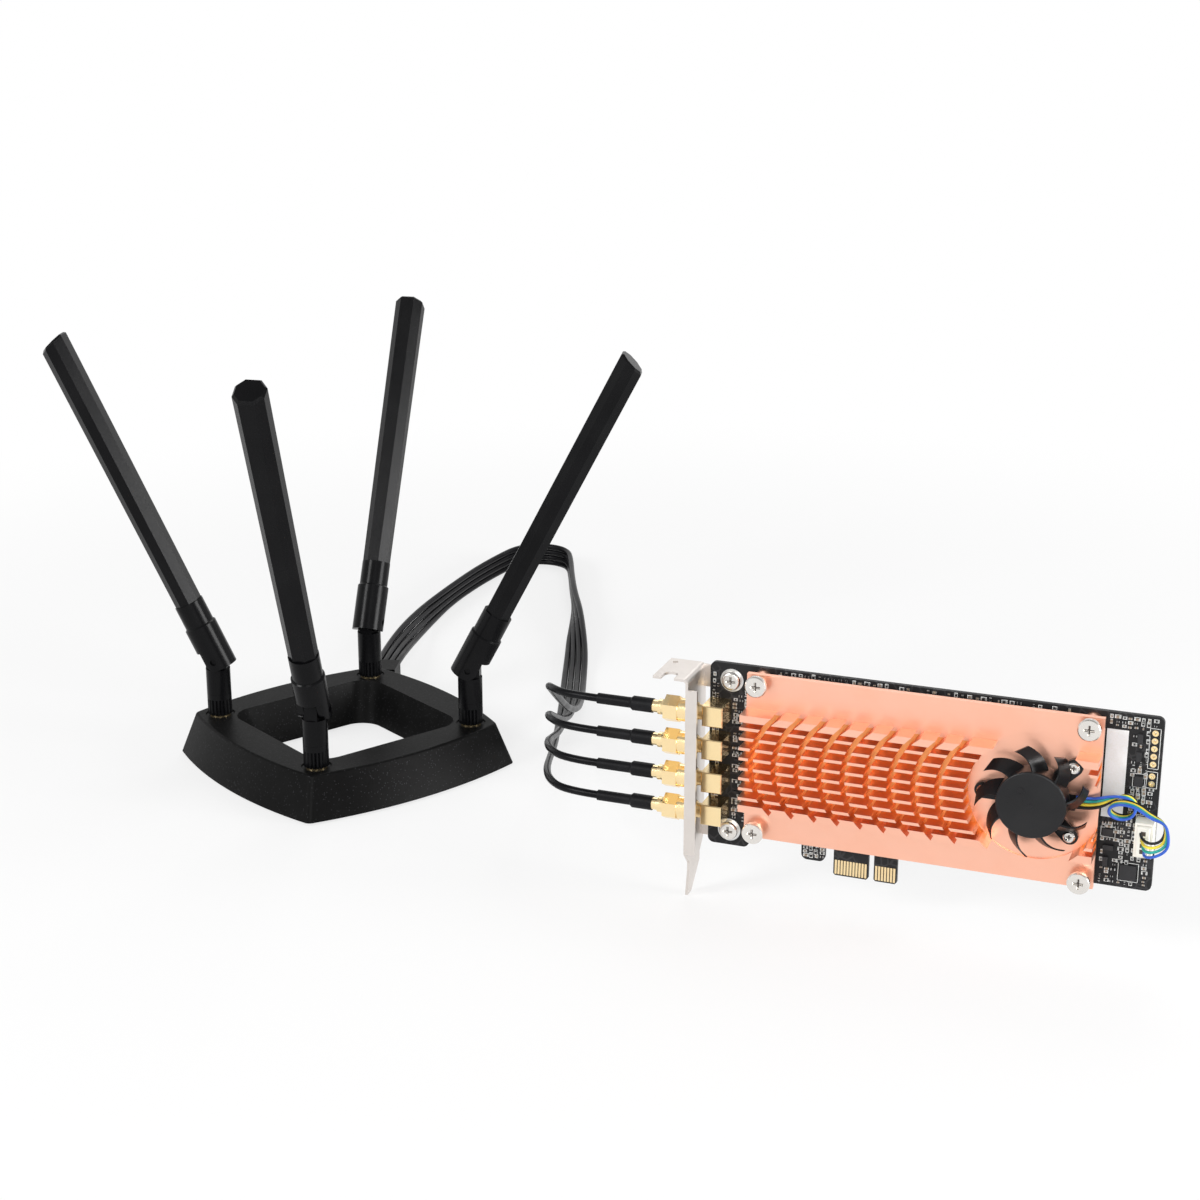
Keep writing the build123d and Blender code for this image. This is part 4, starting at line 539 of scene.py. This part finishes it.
@dataclass
class CoaxBand:
    """Four coax cables from the dock to the card's plugs.

    They leave the dock flat, lie on edge around the bend behind it, lie flat again and fan out to the plugs.
    """

    exit_reach: float = 73.55
    exit_rise: float = 9.2
    lengths: tuple[float, ...] = (0.5945, 0.5897, 0.5861, 0.5835)

    def route(self) -> list[Stop]:
        """Stops from the board's corner along the row and back, above the floor."""
        flat = COAX_DIAMETER / 2
        edge = flat + 1.5 * CORD_SPACING
        turn = radians(DOCK_TURN + 90)
        start = np.array(DOCK_MIDDLE) + self.exit_reach * np.array([cos(turn), sin(turn)]) - BOARD_CORNER[:2]
        return [
            (start[0], start[1], self.exit_rise, 0, CORD_SPACING, 0),
            (-190.0, 145.0, self.exit_rise, 0, CORD_SPACING, 0),
            (-196.0, 166.0, 7.8, 15, CORD_SPACING, 0),
            (-201.5, 190.0, 6.6, 40, CORD_SPACING, 0),
            (-206.0, 217.0, 5.5, 65, CORD_SPACING, 0),
            (-208.5, 246.0, edge, 90, CORD_SPACING, 0),
            (-208.8, 275.0, edge, 90, CORD_SPACING, 0),
            (-207.0, 300.0, edge, 90, CORD_SPACING, 0),
            (-204.5, 316.5, edge, 90, CORD_SPACING, 0),
            (-197.2, 323.6, edge, 90, CORD_SPACING, 0),
            (-187.1, 325.1, edge, 90, CORD_SPACING, 0),
            (-178.1, 320.2, edge, 90, CORD_SPACING, 0),
            (-171.0, 305.0, edge, 90, CORD_SPACING, 0),
            (-162.0, 284.0, edge, 90, CORD_SPACING, 0),
            (-152.0, 262.0, edge, 90, CORD_SPACING, 0),
            (-142.5, 240.0, 5.3, 65, CORD_SPACING, 0),
            (-133.8, 218.0, 4.2, 40, CORD_SPACING, 0),
            (-125.0, 196.0, 2.5, 15, CORD_SPACING, 0),
            (-116.5, 172.0, flat, 0, CORD_SPACING, 0),
            (-107.0, 146.0, flat, 0, CORD_SPACING, 0.03),
            (-97.5, 119.0, flat, 0, 2.6, 0.13),
            (-88.5, 92.0, flat, 0, 2.1, 0.28),
            (-80.0, 66.0, flat, 0, 1.5, 0.47),
            (-72.0, 40.0, flat, 0, 0.9, 0.69),
            (-65.0, 18.0, flat, 0, 0.4, 0.88),
            (-58.0, 2.0, flat, 0, 0.1, 0.98),
            (-49.0, -JACK_AXIS, flat, 0, 0, 1),
            (BOOT_END, -JACK_AXIS, flat, 0, 0, 1),
        ]

    def build(self) -> None:
        lift = np.array([BOARD_CORNER[0], BOARD_CORNER[1], 0.0])
        for n, height in enumerate(JACK_HEIGHTS, 1):
            points = (strand(self.route(), 2.5 - n, BOARD_CORNER[2] + height) + lift) * MM
            cable = round_cord(f"coax_cable_{n}", points, COAX_DIAMETER * MM, Finishes.CABLE)
            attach(cable, ROOT_BODY)
            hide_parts(f"coax_{n}")
            log.info("laid cable %d", n)


@dataclass
class FanLead:
    """Four thin wires from the fan's base to its plug, with one loop beside the socket."""

    lengths: dict[str, float] = field(
        default_factory=lambda: {"blue": 0.0753, "green": 0.0734, "yellow": 0.0721, "black": 0.0714}
    )
    route: tuple[Stop, ...] = (
        (-24.15, 39.7, 5.1, 0, WIRE_SPACING, 0),
        (-20.4, 39.7, 5.1, 0, WIRE_SPACING, 0),
        (-16.2, 41.2, 5.9, 20, WIRE_SPACING, 0),
        (-12.6, 42.8, 4.0, 60, WIRE_SPACING, 0),
        (-8.8, 43.2, 2.9, 90, WIRE_SPACING, 0),
        (-6.0, 40.8, 2.4, 90, WIRE_SPACING, 0),
        (-6.6, 37.0, 2.5, 90, WIRE_SPACING, 0),
        (-10.1, 35.7, 3.4, 90, WIRE_SPACING, 0),
        (-13.8, 37.9, 5.8, 90, WIRE_SPACING, 0),
        (-13.3, 42.0, 8.6, 90, WIRE_SPACING, 0),
        (-9.4, 43.9, 9.8, 90, WIRE_SPACING, 0),
        (-5.0, 43.4, 10.3, 90, WIRE_SPACING, 0),
        (-0.8, 40.8, 10.6, 90, WIRE_SPACING, 0),
        (3.5, 39.5, 11.2, 69, WIRE_SPACING, 0),
        (4.6, 36.5, 11.9, 68, WIRE_SPACING, 0),
        (4.2, 32.8, 13.1, 35, WIRE_SPACING, 0),
        (0.7, 30.7, 13.4, 14, 1.4, 0),
        (-2.6, 30.3, 11.2, 0, 1.9, 0),
        (-3.0, 30.2, 7.15, 0, 2.0, 0),
    )
    finishes: dict[str, Finishes] = field(
        default_factory=lambda: {
            "blue": Finishes.BLUE,
            "green": Finishes.GREEN,
            "yellow": Finishes.YELLOW,
            "black": Finishes.BLACK_WIRE,
        }
    )

    def build(self) -> None:
        for place, (colour, finish) in zip((1.5, 0.5, -0.5, -1.5), self.finishes.items()):
            points = on_board(strand(self.route, place) + [BOARD_LENGTH, 0, 0])
            wire = round_cord(f"fan_lead_{colour}", points, WIRE_DIAMETER * MM, finish)
            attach(wire, ROOT_BODY)
            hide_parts(f"fan_wire_{colour}")
            log.info("laid the %s fan wire", colour)


def new_piece(
    name: str,
    shape: tuple[np.ndarray, list],
    finish: Finishes,
    body: str = ROOT_BODY,
    smooth: bool = False,
) -> bpy.types.Object:
    """Add a visible piece that rides on a body.

    Args:
        name: the piece's name.
        shape: its points in metres and its faces.
        finish: its finish.
        body: the body that carries it.
        smooth: whether its faces are shaded as one curved surface.

    Returns:
        The new object.
    """
    points, faces = shape
    mesh = bpy.data.meshes.new(name)
    mesh.from_pydata(points.reshape(-1, 3).tolist(), [], faces)
    mesh.polygons.foreach_set("use_smooth", np.full(len(faces), smooth))
    mesh.materials.append(finish.value.material())
    made = bpy.data.objects.new(name, mesh)
    bpy.context.scene.collection.objects.link(made)
    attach(made, body)
    log.info("added %s with %d faces", name, len(faces))
    return made


def on_back(points: Any) -> np.ndarray:
    """Carry points given along, up and out from the board's back face into the row frame, mirrored."""
    mirrored = np.array(points, float)
    mirrored[..., 2] = -BOARD_THICKNESS - mirrored[..., 2]
    return on_board(mirrored)


def beside_bracket(points: Any) -> np.ndarray:
    """Carry points given across a jack's axis, up, and out through the bracket into the row frame."""
    across, up, out = np.moveaxis(np.asarray(points, float), -1, 0)
    return on_board(np.stack([BRACKET_FACE - out, up, JACK_AXIS + across], -1))


def blocks(
    feet: np.ndarray, sizes: np.ndarray, cut: float = 0.0, carry: Callable[[Any], np.ndarray] = on_board
) -> tuple[np.ndarray, list]:
    """Rectangular blocks with their upper edges cut.

    Each block is three rectangles above one another: the foot, the shoulder, and the top drawn in by the cut.

    Args:
        feet: middles of the feet, shape (n, 3), millimetres.
        sizes: along, up and out, shape (n, 3) or (3,).
        cut: width of the cut on the upper edges.
        carry: function that carries the points into the row frame.

    Returns:
        Points in metres and faces.
    """
    feet, sizes = np.broadcast_arrays(np.asarray(feet, float), np.asarray(sizes, float))
    corner = np.array([[-1, -1], [1, -1], [1, 1], [-1, 1]]) / 2
    levels = []
    for inset, drop in ((0, sizes[:, 2]), (0, cut + 0 * sizes[:, 2]), (cut, 0 * sizes[:, 2])):
        flat = feet[:, None, :2] + corner * (sizes[:, None, :2] - 2 * inset)
        out = np.repeat((feet[:, 2] + sizes[:, 2] - drop)[:, None], 4, 1)
        levels.append(np.dstack([flat, out]))
    points = np.concatenate(levels, 1)
    side = np.arange(4)
    turn = np.roll(side, -1)
    walls = [np.stack([side, turn, turn + 4, side + 4], -1) + 4 * level for level in (0, 1)]
    faces = np.concatenate([side[None, ::-1], *walls, side[None] + 8])
    faces = (faces + 12 * np.arange(len(feet))[:, None, None]).reshape(-1, 4)
    return carry(points), (faces[:, ::-1] if carry is on_back else faces).tolist()


def turned(
    profile: Sequence[tuple[float, float]],
    places: np.ndarray,
    segments: int = 20,
    ring: bool = False,
    carry: Callable[[Any], np.ndarray] = on_board,
) -> tuple[np.ndarray, list]:
    """Round parts from one half profile of radius and height, a copy at every place.

    Args:
        profile: radius and height, upwards; for a ring, once around it from its outer foot.
        places: middles, shape (n, 3), millimetres.
        segments: sides around.
        ring: whether the profile closes on itself; otherwise both ends get a flat cap.
        carry: function that carries the points into the row frame.

    Returns:
        Points in metres and faces.
    """
    radius, height = np.array(profile, float).T
    places = np.asarray(places, float)
    angle = np.arange(segments) * tau / segments
    circle = np.stack([np.cos(angle), np.sin(angle)], -1)
    flat = places[:, None, None, :2] + radius[:, None, None] * circle
    out = places[:, None, None, 2:] + height[:, None, None] + np.zeros((segments, 1))
    points = np.concatenate([flat, out], -1)
    index = np.arange(points.size // 3).reshape(points.shape[:3])
    low, high = (index, np.roll(index, -1, 1)) if ring else (index[:, :-1], index[:, 1:])
    quads = np.stack([low, np.roll(low, -1, 2), np.roll(high, -1, 2), high], -1).reshape(-1, 4)
    caps = [] if ring else [*index[:, 0, ::-1], *index[:, -1]]
    flip = -1 if carry is on_back else 1
    return carry(points), [face[::flip].tolist() for face in (*quads, *caps)]


def ring_profile(inner: float, outer: float, height: float) -> list[tuple[float, float]]:
    """Section of a flat ring."""
    return [(outer, 0), (outer, height), (inner, height), (inner, 0)]


@dataclass
class Zone:
    """Rectangle of the board that carries small soldered parts on a loose grid."""

    low: tuple[float, float]
    high: tuple[float, float]
    pitch: tuple[float, float]
    fill: float
    seed: int

    def places(self, keep_out: np.ndarray) -> np.ndarray:
        """Middles of the parts.

        Args:
            keep_out: rectangles as low and high corners, shape (n, 2, 2).

        Returns:
            Places along and up the board, shape (m, 2).
        """
        chance = np.random.default_rng(self.seed)
        axes = [np.arange(a + p / 2, b, p) for a, b, p in zip(self.low, self.high, self.pitch)]
        grid = np.stack(np.meshgrid(*axes), -1).reshape(-1, 2)
        grid = grid + chance.uniform(-0.12, 0.12, grid.shape) * self.pitch
        margin = 0.6
        inside = (grid[:, None] > keep_out[:, 0] - margin) & (grid[:, None] < keep_out[:, 1] + margin)
        taken = inside.all(-1).any(-1)
        return grid[~taken & (chance.random(len(grid)) < self.fill)]


@dataclass
class BoardParts:
    """Small soldered parts, plated holes, solder joints and white print on both faces of the board."""

    pad_inset: float = 2.5
    pad_heights: tuple[float, ...] = (63.6, 61.06, 58.52, 55.98, 53.44, 49.54, 47.0)
    chip_lengths: tuple[float, ...] = (0.8, 1.05, 1.4)
    chip_widths: tuple[float, ...] = (0.45, 0.6, 0.7)
    chip_heights: tuple[float, ...] = (0.3, 0.4, 0.6)
    column: float = 3.8
    ceramic_share: float = 0.45
    printed_share: float = 0.55
    body_share: float = 0.66
    edge_cut: float = 0.04
    line_width: float = 0.16
    print_thickness: float = 0.02
    front_zones: tuple[Zone, ...] = (
        Zone((128.2, 12.2), (144.2, 68.2), (1.9, 1.4), 0.9, 3),
        Zone((8.0, 14.4), (13.8, 62.4), (1.75, 1.3), 0.9, 5),
        Zone((0.8, 11.4), (3.4, 66.0), (1.3, 1.2), 0.8, 6),
        Zone((16.0, 58.0), (126.0, 68.4), (2.2, 1.5), 0.8, 8),
        Zone((33.0, 5.0), (40.0, 10.6), (1.8, 1.3), 0.9, 9),
    )
    back_zones: tuple[Zone, ...] = (
        Zone((20.0, 15.0), (140.0, 66.0), (4.4, 3.3), 0.30, 13),
        Zone((70.0, 30.0), (100.0, 50.0), (2.4, 1.8), 0.6, 14),
    )
    front_kept: tuple[tuple[float, float, float, float], ...] = (
        (128.0, 34.2, 134.6, 63.4),
        (139.2, 24.5, 144.8, 35.9),
        (141.2, 45.8, 145.0, 65.0),
        (135.1, 14.1, 140.1, 19.1),
        (129.0, 27.9, 132.2, 30.5),
        (137.3, 45.9, 139.9, 49.3),
        (137.4, 54.0, 139.0, 57.2),
        (137.4, 59.8, 139.0, 63.0),
        (129.6, 17.8, 131.2, 21.0),
        (129.4, 23.4, 132.6, 25.0),
        (3.4, 6.4, 11.4, 14.4),
        (3.4, 59.2, 11.4, 67.2),
        (8.8, 23.7, 12.2, 25.0),
        (8.8, 29.0, 12.2, 31.2),
        (8.8, 35.2, 10.6, 36.4),
        (11.0, 40.6, 12.2, 42.6),
        (8.8, 46.8, 10.6, 48.0),
        (14.4, 61.6, 21.6, 69.0),
        (120.2, 61.6, 127.4, 69.0),
    )
    back_kept: tuple[tuple[float, float, float, float], ...] = (
        (0.0, 0.0, 14.0, 69.0),
        (140.0, 44.0, 145.0, 66.0),
        (139.0, 25.0, 145.0, 36.0),
        (14.0, 11.0, 22.0, 18.0),
        (120.0, 11.0, 128.0, 18.0),
        (14.0, 61.0, 22.0, 69.0),
        (120.0, 61.0, 128.0, 69.0),
    )

    def small_parts(self, side: str, zones: Sequence[Zone], kept: Sequence[tuple], carry: Callable) -> None:
        """Chip parts of three sizes, their tinned ends, and a printed outline around about half of them.

        Args:
            side: front or back, for the pieces' names.
            zones: where the parts are.
            kept: rectangles to stay clear of.
            carry: function that carries the points into the row frame.
        """
        keep_out = np.array(kept, float).reshape(-1, 2, 2)
        middle = np.concatenate([zone.places(keep_out) for zone in zones])
        chance = np.random.default_rng(len(middle))
        kind = chance.integers(0, 3, len(middle))
        length = np.array(self.chip_lengths)[kind]
        width = np.array(self.chip_widths)[kind]
        height = np.array(self.chip_heights)[kind]
        upright = np.floor(middle[:, 0] / self.column) % 3 == 0
        ceramic = chance.random(len(middle)) < self.ceramic_share
        foot = np.c_[middle, np.zeros(len(middle))]

        def laid(along: np.ndarray, across: np.ndarray, out: np.ndarray) -> np.ndarray:
            """Sizes, with along and across changed over for the parts that stand upright."""
            sizes = np.stack([along + 0 * length, across + 0 * length, out + 0 * length], -1)
            return np.where(upright[:, None], sizes[:, [1, 0, 2]], sizes)

        bodies = laid(length * self.body_share, width, height)
        for name, chosen, finish in (
            ("capacitors", ceramic, Finishes.CERAMIC),
            ("resistors", ~ceramic, Finishes.RESISTOR),
        ):
            shape = blocks(foot[chosen], bodies[chosen], self.edge_cut, carry)
            new_piece(f"{side}_{name}", shape, finish)
        reach = laid(length * 0.41, 0.0, 0.0)
        ends = np.concatenate([foot - reach, foot + reach])
        caps = laid(length * 0.2, width * 1.04, height * 1.04)
        shape = blocks(ends, np.tile(caps, (2, 1)), self.edge_cut, carry)
        new_piece(f"{side}_part_ends", shape, Finishes.TIN)
        line, thick = self.line_width, self.print_thickness
        beside = laid(0.0, width / 2 + line, 0.0)
        beyond = laid(length / 2 + line, 0.0, 0.0)
        lines = np.stack([foot - beside, foot + beside, foot - beyond, foot + beyond])
        long_bars = laid(length + 3 * line, line, thick)
        short_bars = laid(line, width + line, thick)
        bars = np.stack([long_bars, long_bars, short_bars, short_bars])
        printed = chance.random(len(middle)) < self.printed_share
        shape = blocks(lines[:, printed].reshape(-1, 3), bars[:, printed].reshape(-1, 3), 0.0, carry)
        new_piece(f"{side}_part_outlines", shape, Finishes.PRINT)

    def print_frames(self) -> None:
        """Printed frames around the plated holes, the larger chips and the socket."""
        right = BOARD_LENGTH
        frames = np.array(
            [
                (right - 4.1, 52.0, right - 0.9, 65.1),
                (right - 4.1, 45.6, right - 0.9, 51.0),
                (right - 10.5, 13.5, right - 4.3, 19.7),
                (right - 16.6, 27.4, right - 12.2, 31.0),
                (right - 8.2, 45.4, right - 4.6, 49.8),
                (right - 6.2, 24.1, right - 0.05, 36.3),
            ]
        )
        low, high = frames[:, :2], frames[:, 2:]
        middle, size = (low + high) / 2, high - low
        places, sizes = [], []
        for axis in (0, 1):
            for end in (-0.5, 0.5):
                place = middle.copy()
                place[:, axis] += end * size[:, axis]
                bar = size + self.line_width
                bar[:, axis] = self.line_width
                places.append(np.c_[place, np.zeros(len(place))])
                sizes.append(np.c_[bar, np.full(len(bar), self.print_thickness)])
        shape = blocks(np.concatenate(places), np.concatenate(sizes))
        new_piece("print_frames", shape, Finishes.PRINT)

    def plating(self) -> None:
        """Gold rings of the plated holes and tinned lands under the bracket's screws."""
        holes = np.array([(BOARD_LENGTH - self.pad_inset, up, 0) for up in self.pad_heights])
        for side, carry in (("front", on_board), ("back", on_back)):
            shape = turned(ring_profile(0.5, 0.98, 0.06), holes, 20, True, carry)
            new_piece(f"{side}_hole_rings", shape, Finishes.GOLD)
        foot, lip = -BOARD_THICKNESS, 0.03
        lining = turned([(0.5, foot), (0.5, lip), (0.4, lip), (0.4, foot)], holes, 20, True)
        new_piece("hole_linings", lining, Finishes.GOLD, smooth=True)
        lands = np.array([(*place, 0) for place in BRACKET_SCREWS])
        shape = turned(ring_profile(1.6, 3.9, 0.05), lands, 40, True)
        new_piece("screw_lands", shape, Finishes.TIN)

    def solder_joints(self) -> None:
        """Solder domes on the back, under the legs of the jacks and the pins of the fan's socket."""
        jack = np.array([(0, 0), (-2.6, -2.6), (2.6, -2.6), (-2.6, 2.6), (2.6, 2.6)])
        middles = np.array([(3.8, up) for up in JACK_HEIGHTS])
        legs = (middles[:, None] + jack).reshape(-1, 2)
        pins = np.array([(SOCKET[0], SOCKET[1] + step) for step in SOCKET_PINS])
        for name, places, radius in (("jack_joints", legs, 0.95), ("socket_joints", pins, 0.7)):
            angle = np.radians([0, 20, 40, 60, 78])
            dome = np.c_[radius * np.cos(angle), 0.9 * radius * np.sin(angle)]
            shape = turned(dome, np.c_[places, np.zeros(len(places))], 16, False, on_back)
            new_piece(name, shape, Finishes.SOLDER, smooth=True)

    def build(self) -> None:
        """Add every piece."""
        self.small_parts("front", self.front_zones, self.front_kept, on_board)
        self.small_parts("back", self.back_zones, self.back_kept, on_back)
        self.print_frames()
        self.plating()
        self.solder_joints()


@dataclass
class Fasteners:
    """Painted shade on the floors of the screws' cross recesses, and washers on the jacks."""

    sink_screws: tuple[tuple[float, float], ...] = ((18.0, 14.2), (18.0, 65.2), (123.8, 14.2), (123.8, 65.2))
    fan_circle: float = 16.2
    fan_angles: tuple[float, ...] = (45.0, 180.0, 315.0)

    def crosses(self, name: str, places: np.ndarray, floor: float, arm: float, width: float) -> None:
        """Thin dark crosses on the recess floors: painted shade where the recesses are in shadow.

        Args:
            name: the piece's name.
            places: the screws' axes, shape (n, 2).
            floor: the recess floor's distance from the board.
            arm: length of a slot.
            width: width of a slot.
        """
        feet = np.c_[places, np.full(len(places), floor)]
        slack, thick = 0.02, 0.04
        shapes = [(arm - slack, width - slack, thick), (width - slack, arm - slack, thick + slack)]
        sizes = np.repeat(shapes, len(places), 0)
        new_piece(name, blocks(np.tile(feet, (2, 1)), sizes), Finishes.RECESS_SHADE)

    def build(self) -> None:
        """Add the painted-shade crosses and the washers."""
        angle = np.radians(self.fan_angles)
        fan = np.array(FAN_MIDDLE) + self.fan_circle * np.stack([np.cos(angle), np.sin(angle)], -1)
        # painted shade in the screws' cross recesses
        self.crosses("sink_screw_recess_shade", np.array(self.sink_screws), 8.4, 3.0, 0.55)
        self.crosses("bracket_screw_recess_shade", np.array(BRACKET_SCREWS), 1.0, 3.0, 0.55)
        self.crosses("fan_screw_recess_shade", fan, 6.35, 1.7, 0.5)
        jacks = np.array([(0, up, 0.02) for up in JACK_HEIGHTS])
        washer = [(4.5, 0), (4.5, 0.3), (4.3, 0.4), (3.2, 0.4), (3.2, 0)]
        new_piece("jack_washers", turned(washer, jacks, 40, True, beside_bracket), Finishes.GOLD)


@dataclass
class FanTrim:
    """Moulding marks on the fan's hub, and painted shade at the wire entries of its plug: thin dark blocks on
    its top.
    """

    hub_top: float = 13.0
    plug_top: float = 7.1

    def build(self) -> None:
        """Add the marks and the painted shade of the entries."""
        x, up = FAN_MIDDLE
        gate = turned([(0.55, 0), (0.5, 0.14), (0.26, 0.2)], np.array([(x, up, self.hub_top)]), 16)
        new_piece("hub_gate_mark", gate, Finishes.FAN, "fan_wheel")
        beside = np.array([(x - 3.2, up + 4.4, self.hub_top)])
        mark = turned(ring_profile(0.95, 1.2, 0.1), beside, 24, True)
        new_piece("hub_ring_mark", mark, Finishes.FAN, "fan_wheel")
        # painted shade: dark blocks where the wires enter the plug
        entries = np.array([(SOCKET[0], SOCKET[1] + step, self.plug_top) for step in SOCKET_PINS])
        new_piece("plug_entry_shade", blocks(entries, (1.5, 1.4, 0.02)), Finishes.RECESS_SHADE)


@dataclass
class Studio:
    """Pale floor, white surroundings, soft lamps and the photograph's camera."""

    camera_place: tuple[float, float, float] = (208.73, -643.38, 308.45)
    azimuth: float = 21.03
    elevation: float = 17.94
    lens: float = 66.0
    floor_size: float = 30.0
    near: float = 0.28
    far: float = 0.62
    ambient: float = 0.62
    glow: float = 0.72
    lamps: dict[str, tuple[Place, Place, float, float]] = field(
        default_factory=lambda: {
            "key": ((-0.75, -1.0, 0.75), (-0.03, -0.03, 0.05), 0.45, 10.0),
            "front": ((0.45, -1.25, 0.5), (0.05, -0.03, 0.05), 0.6, 6.0),
            "side": ((1.15, 0.0, 0.3), (-0.08, -0.04, 0.05), 0.5, 12.0),
            "rim": ((-0.1, 0.8, 1.0), (0.0, 0.0, 0.05), 0.6, 3.0),
        }
    )

    def camera(self) -> None:
        """Camera that looks along the photograph's direction, with no roll."""
        data = bpy.data.cameras.new("camera")
        data.lens = self.lens
        data.sensor_width = 36.0
        data.clip_start = 0.01
        data.clip_end = 50.0
        camera = bpy.data.objects.new("camera", data)
        camera.location = (BOARD_CORNER + self.camera_place) * MM
        camera.rotation_euler = (radians(90 - self.elevation), 0, radians(self.azimuth))
        bpy.context.scene.collection.objects.link(camera)
        bpy.context.scene.camera = camera

    def lamp(self, name: str, place: Place, target: Place, size: float, power: float) -> None:
        """Square soft lamp aimed at a target, in metres and watts."""
        data = bpy.data.lights.new(name, "AREA")
        data.size = size
        data.energy = power
        lamp = bpy.data.objects.new(name, data)
        lamp.location = place
        lamp.rotation_euler = (Vector(target) - Vector(place)).to_track_quat("-Z", "Y").to_euler()
        bpy.context.scene.collection.objects.link(lamp)

    def seen(self, shader: Shader) -> Term:
        """One on rays from the camera, a mirror or glass, else nought."""
        kinds = ("Is Camera Ray", "Is Glossy Ray", "Is Transmission Ray")
        camera, glossy, glass = (shader.node("ShaderNodeLightPath", {}, {}, kind) for kind in kinds)
        settings = {"operation": "ADD", "use_clamp": True}
        return shader.node("ShaderNodeMath", settings, {0: camera + glossy, 1: glass})

    def world(self) -> None:
        """White surroundings where they are seen, a lower even light elsewhere, and both dimmer overhead."""
        world = bpy.data.worlds.new("studio")
        bpy.context.scene.world = world
        shader = Shader(world)
        direction = shader.node("ShaderNodeTexCoord", {}, {}, "Generated")
        height = shader.node("ShaderNodeSeparateXYZ", {}, {0: direction}, "Z")
        overhead = 1 - height.ramp(0.1, 0.8) * 0.55
        strength = (self.ambient + self.seen(shader) * (1.0 - self.ambient)) * overhead
        background = shader.node("ShaderNodeBackground", {}, {"Color": (1, 1, 1, 1), "Strength": strength})
        shader.finish("ShaderNodeOutputWorld", background)

    def floor(self) -> None:
        """Square floor that is white where it is seen in full light and keeps the object's shadow."""
        half = self.floor_size / 2
        mesh = bpy.data.meshes.new("floor")
        corners = np.array([[-half, -half, 0], [half, -half, 0], [half, half, 0], [-half, half, 0]])
        mesh.from_pydata((corners - [0, 0, 0.0002]).tolist(), [], [(0, 1, 2, 3)])
        material = bpy.data.materials.new("floor")
        shader = Shader(material)
        place = shader.node("ShaderNodeTexCoord", {}, {}, "Object")
        distance = shader.node("ShaderNodeVectorMath", {"operation": "LENGTH"}, {0: place}, "Value")
        glowing = self.glow + distance.ramp(self.near, self.far) * (1.0 - self.glow)
        matt = shader.node("ShaderNodeBsdfDiffuse", {}, {"Color": (0.9, 0.9, 0.9, 1)})
        glow = shader.node("ShaderNodeEmission", {}, {"Color": (1, 1, 1, 1), "Strength": 1.0})
        mixed = shader.node("ShaderNodeMixShader", {}, {0: self.seen(shader) * glowing, 1: matt, 2: glow})
        shader.finish("ShaderNodeOutputMaterial", mixed)
        mesh.materials.append(material)
        floor = bpy.data.objects.new("floor", mesh)
        bpy.context.scene.collection.objects.link(floor)

    def build(self) -> None:
        """Set everything up."""
        bpy.context.scene.view_settings.view_transform = "Standard"
        self.camera()
        self.world()
        self.floor()
        for name, (place, target, size, power) in self.lamps.items():
            self.lamp(name, place, target, size, power)
        log.info("set up the studio")


def main() -> None:
    """Build the studio, the cords, the finishes and the small added pieces."""
    Studio().build()
    CoaxBand().build()
    FanLead().build()
    dress_nodes()
    BoardParts().build()
    Fasteners().build()
    FanTrim().build()


if __name__ == "__main__":
    main()
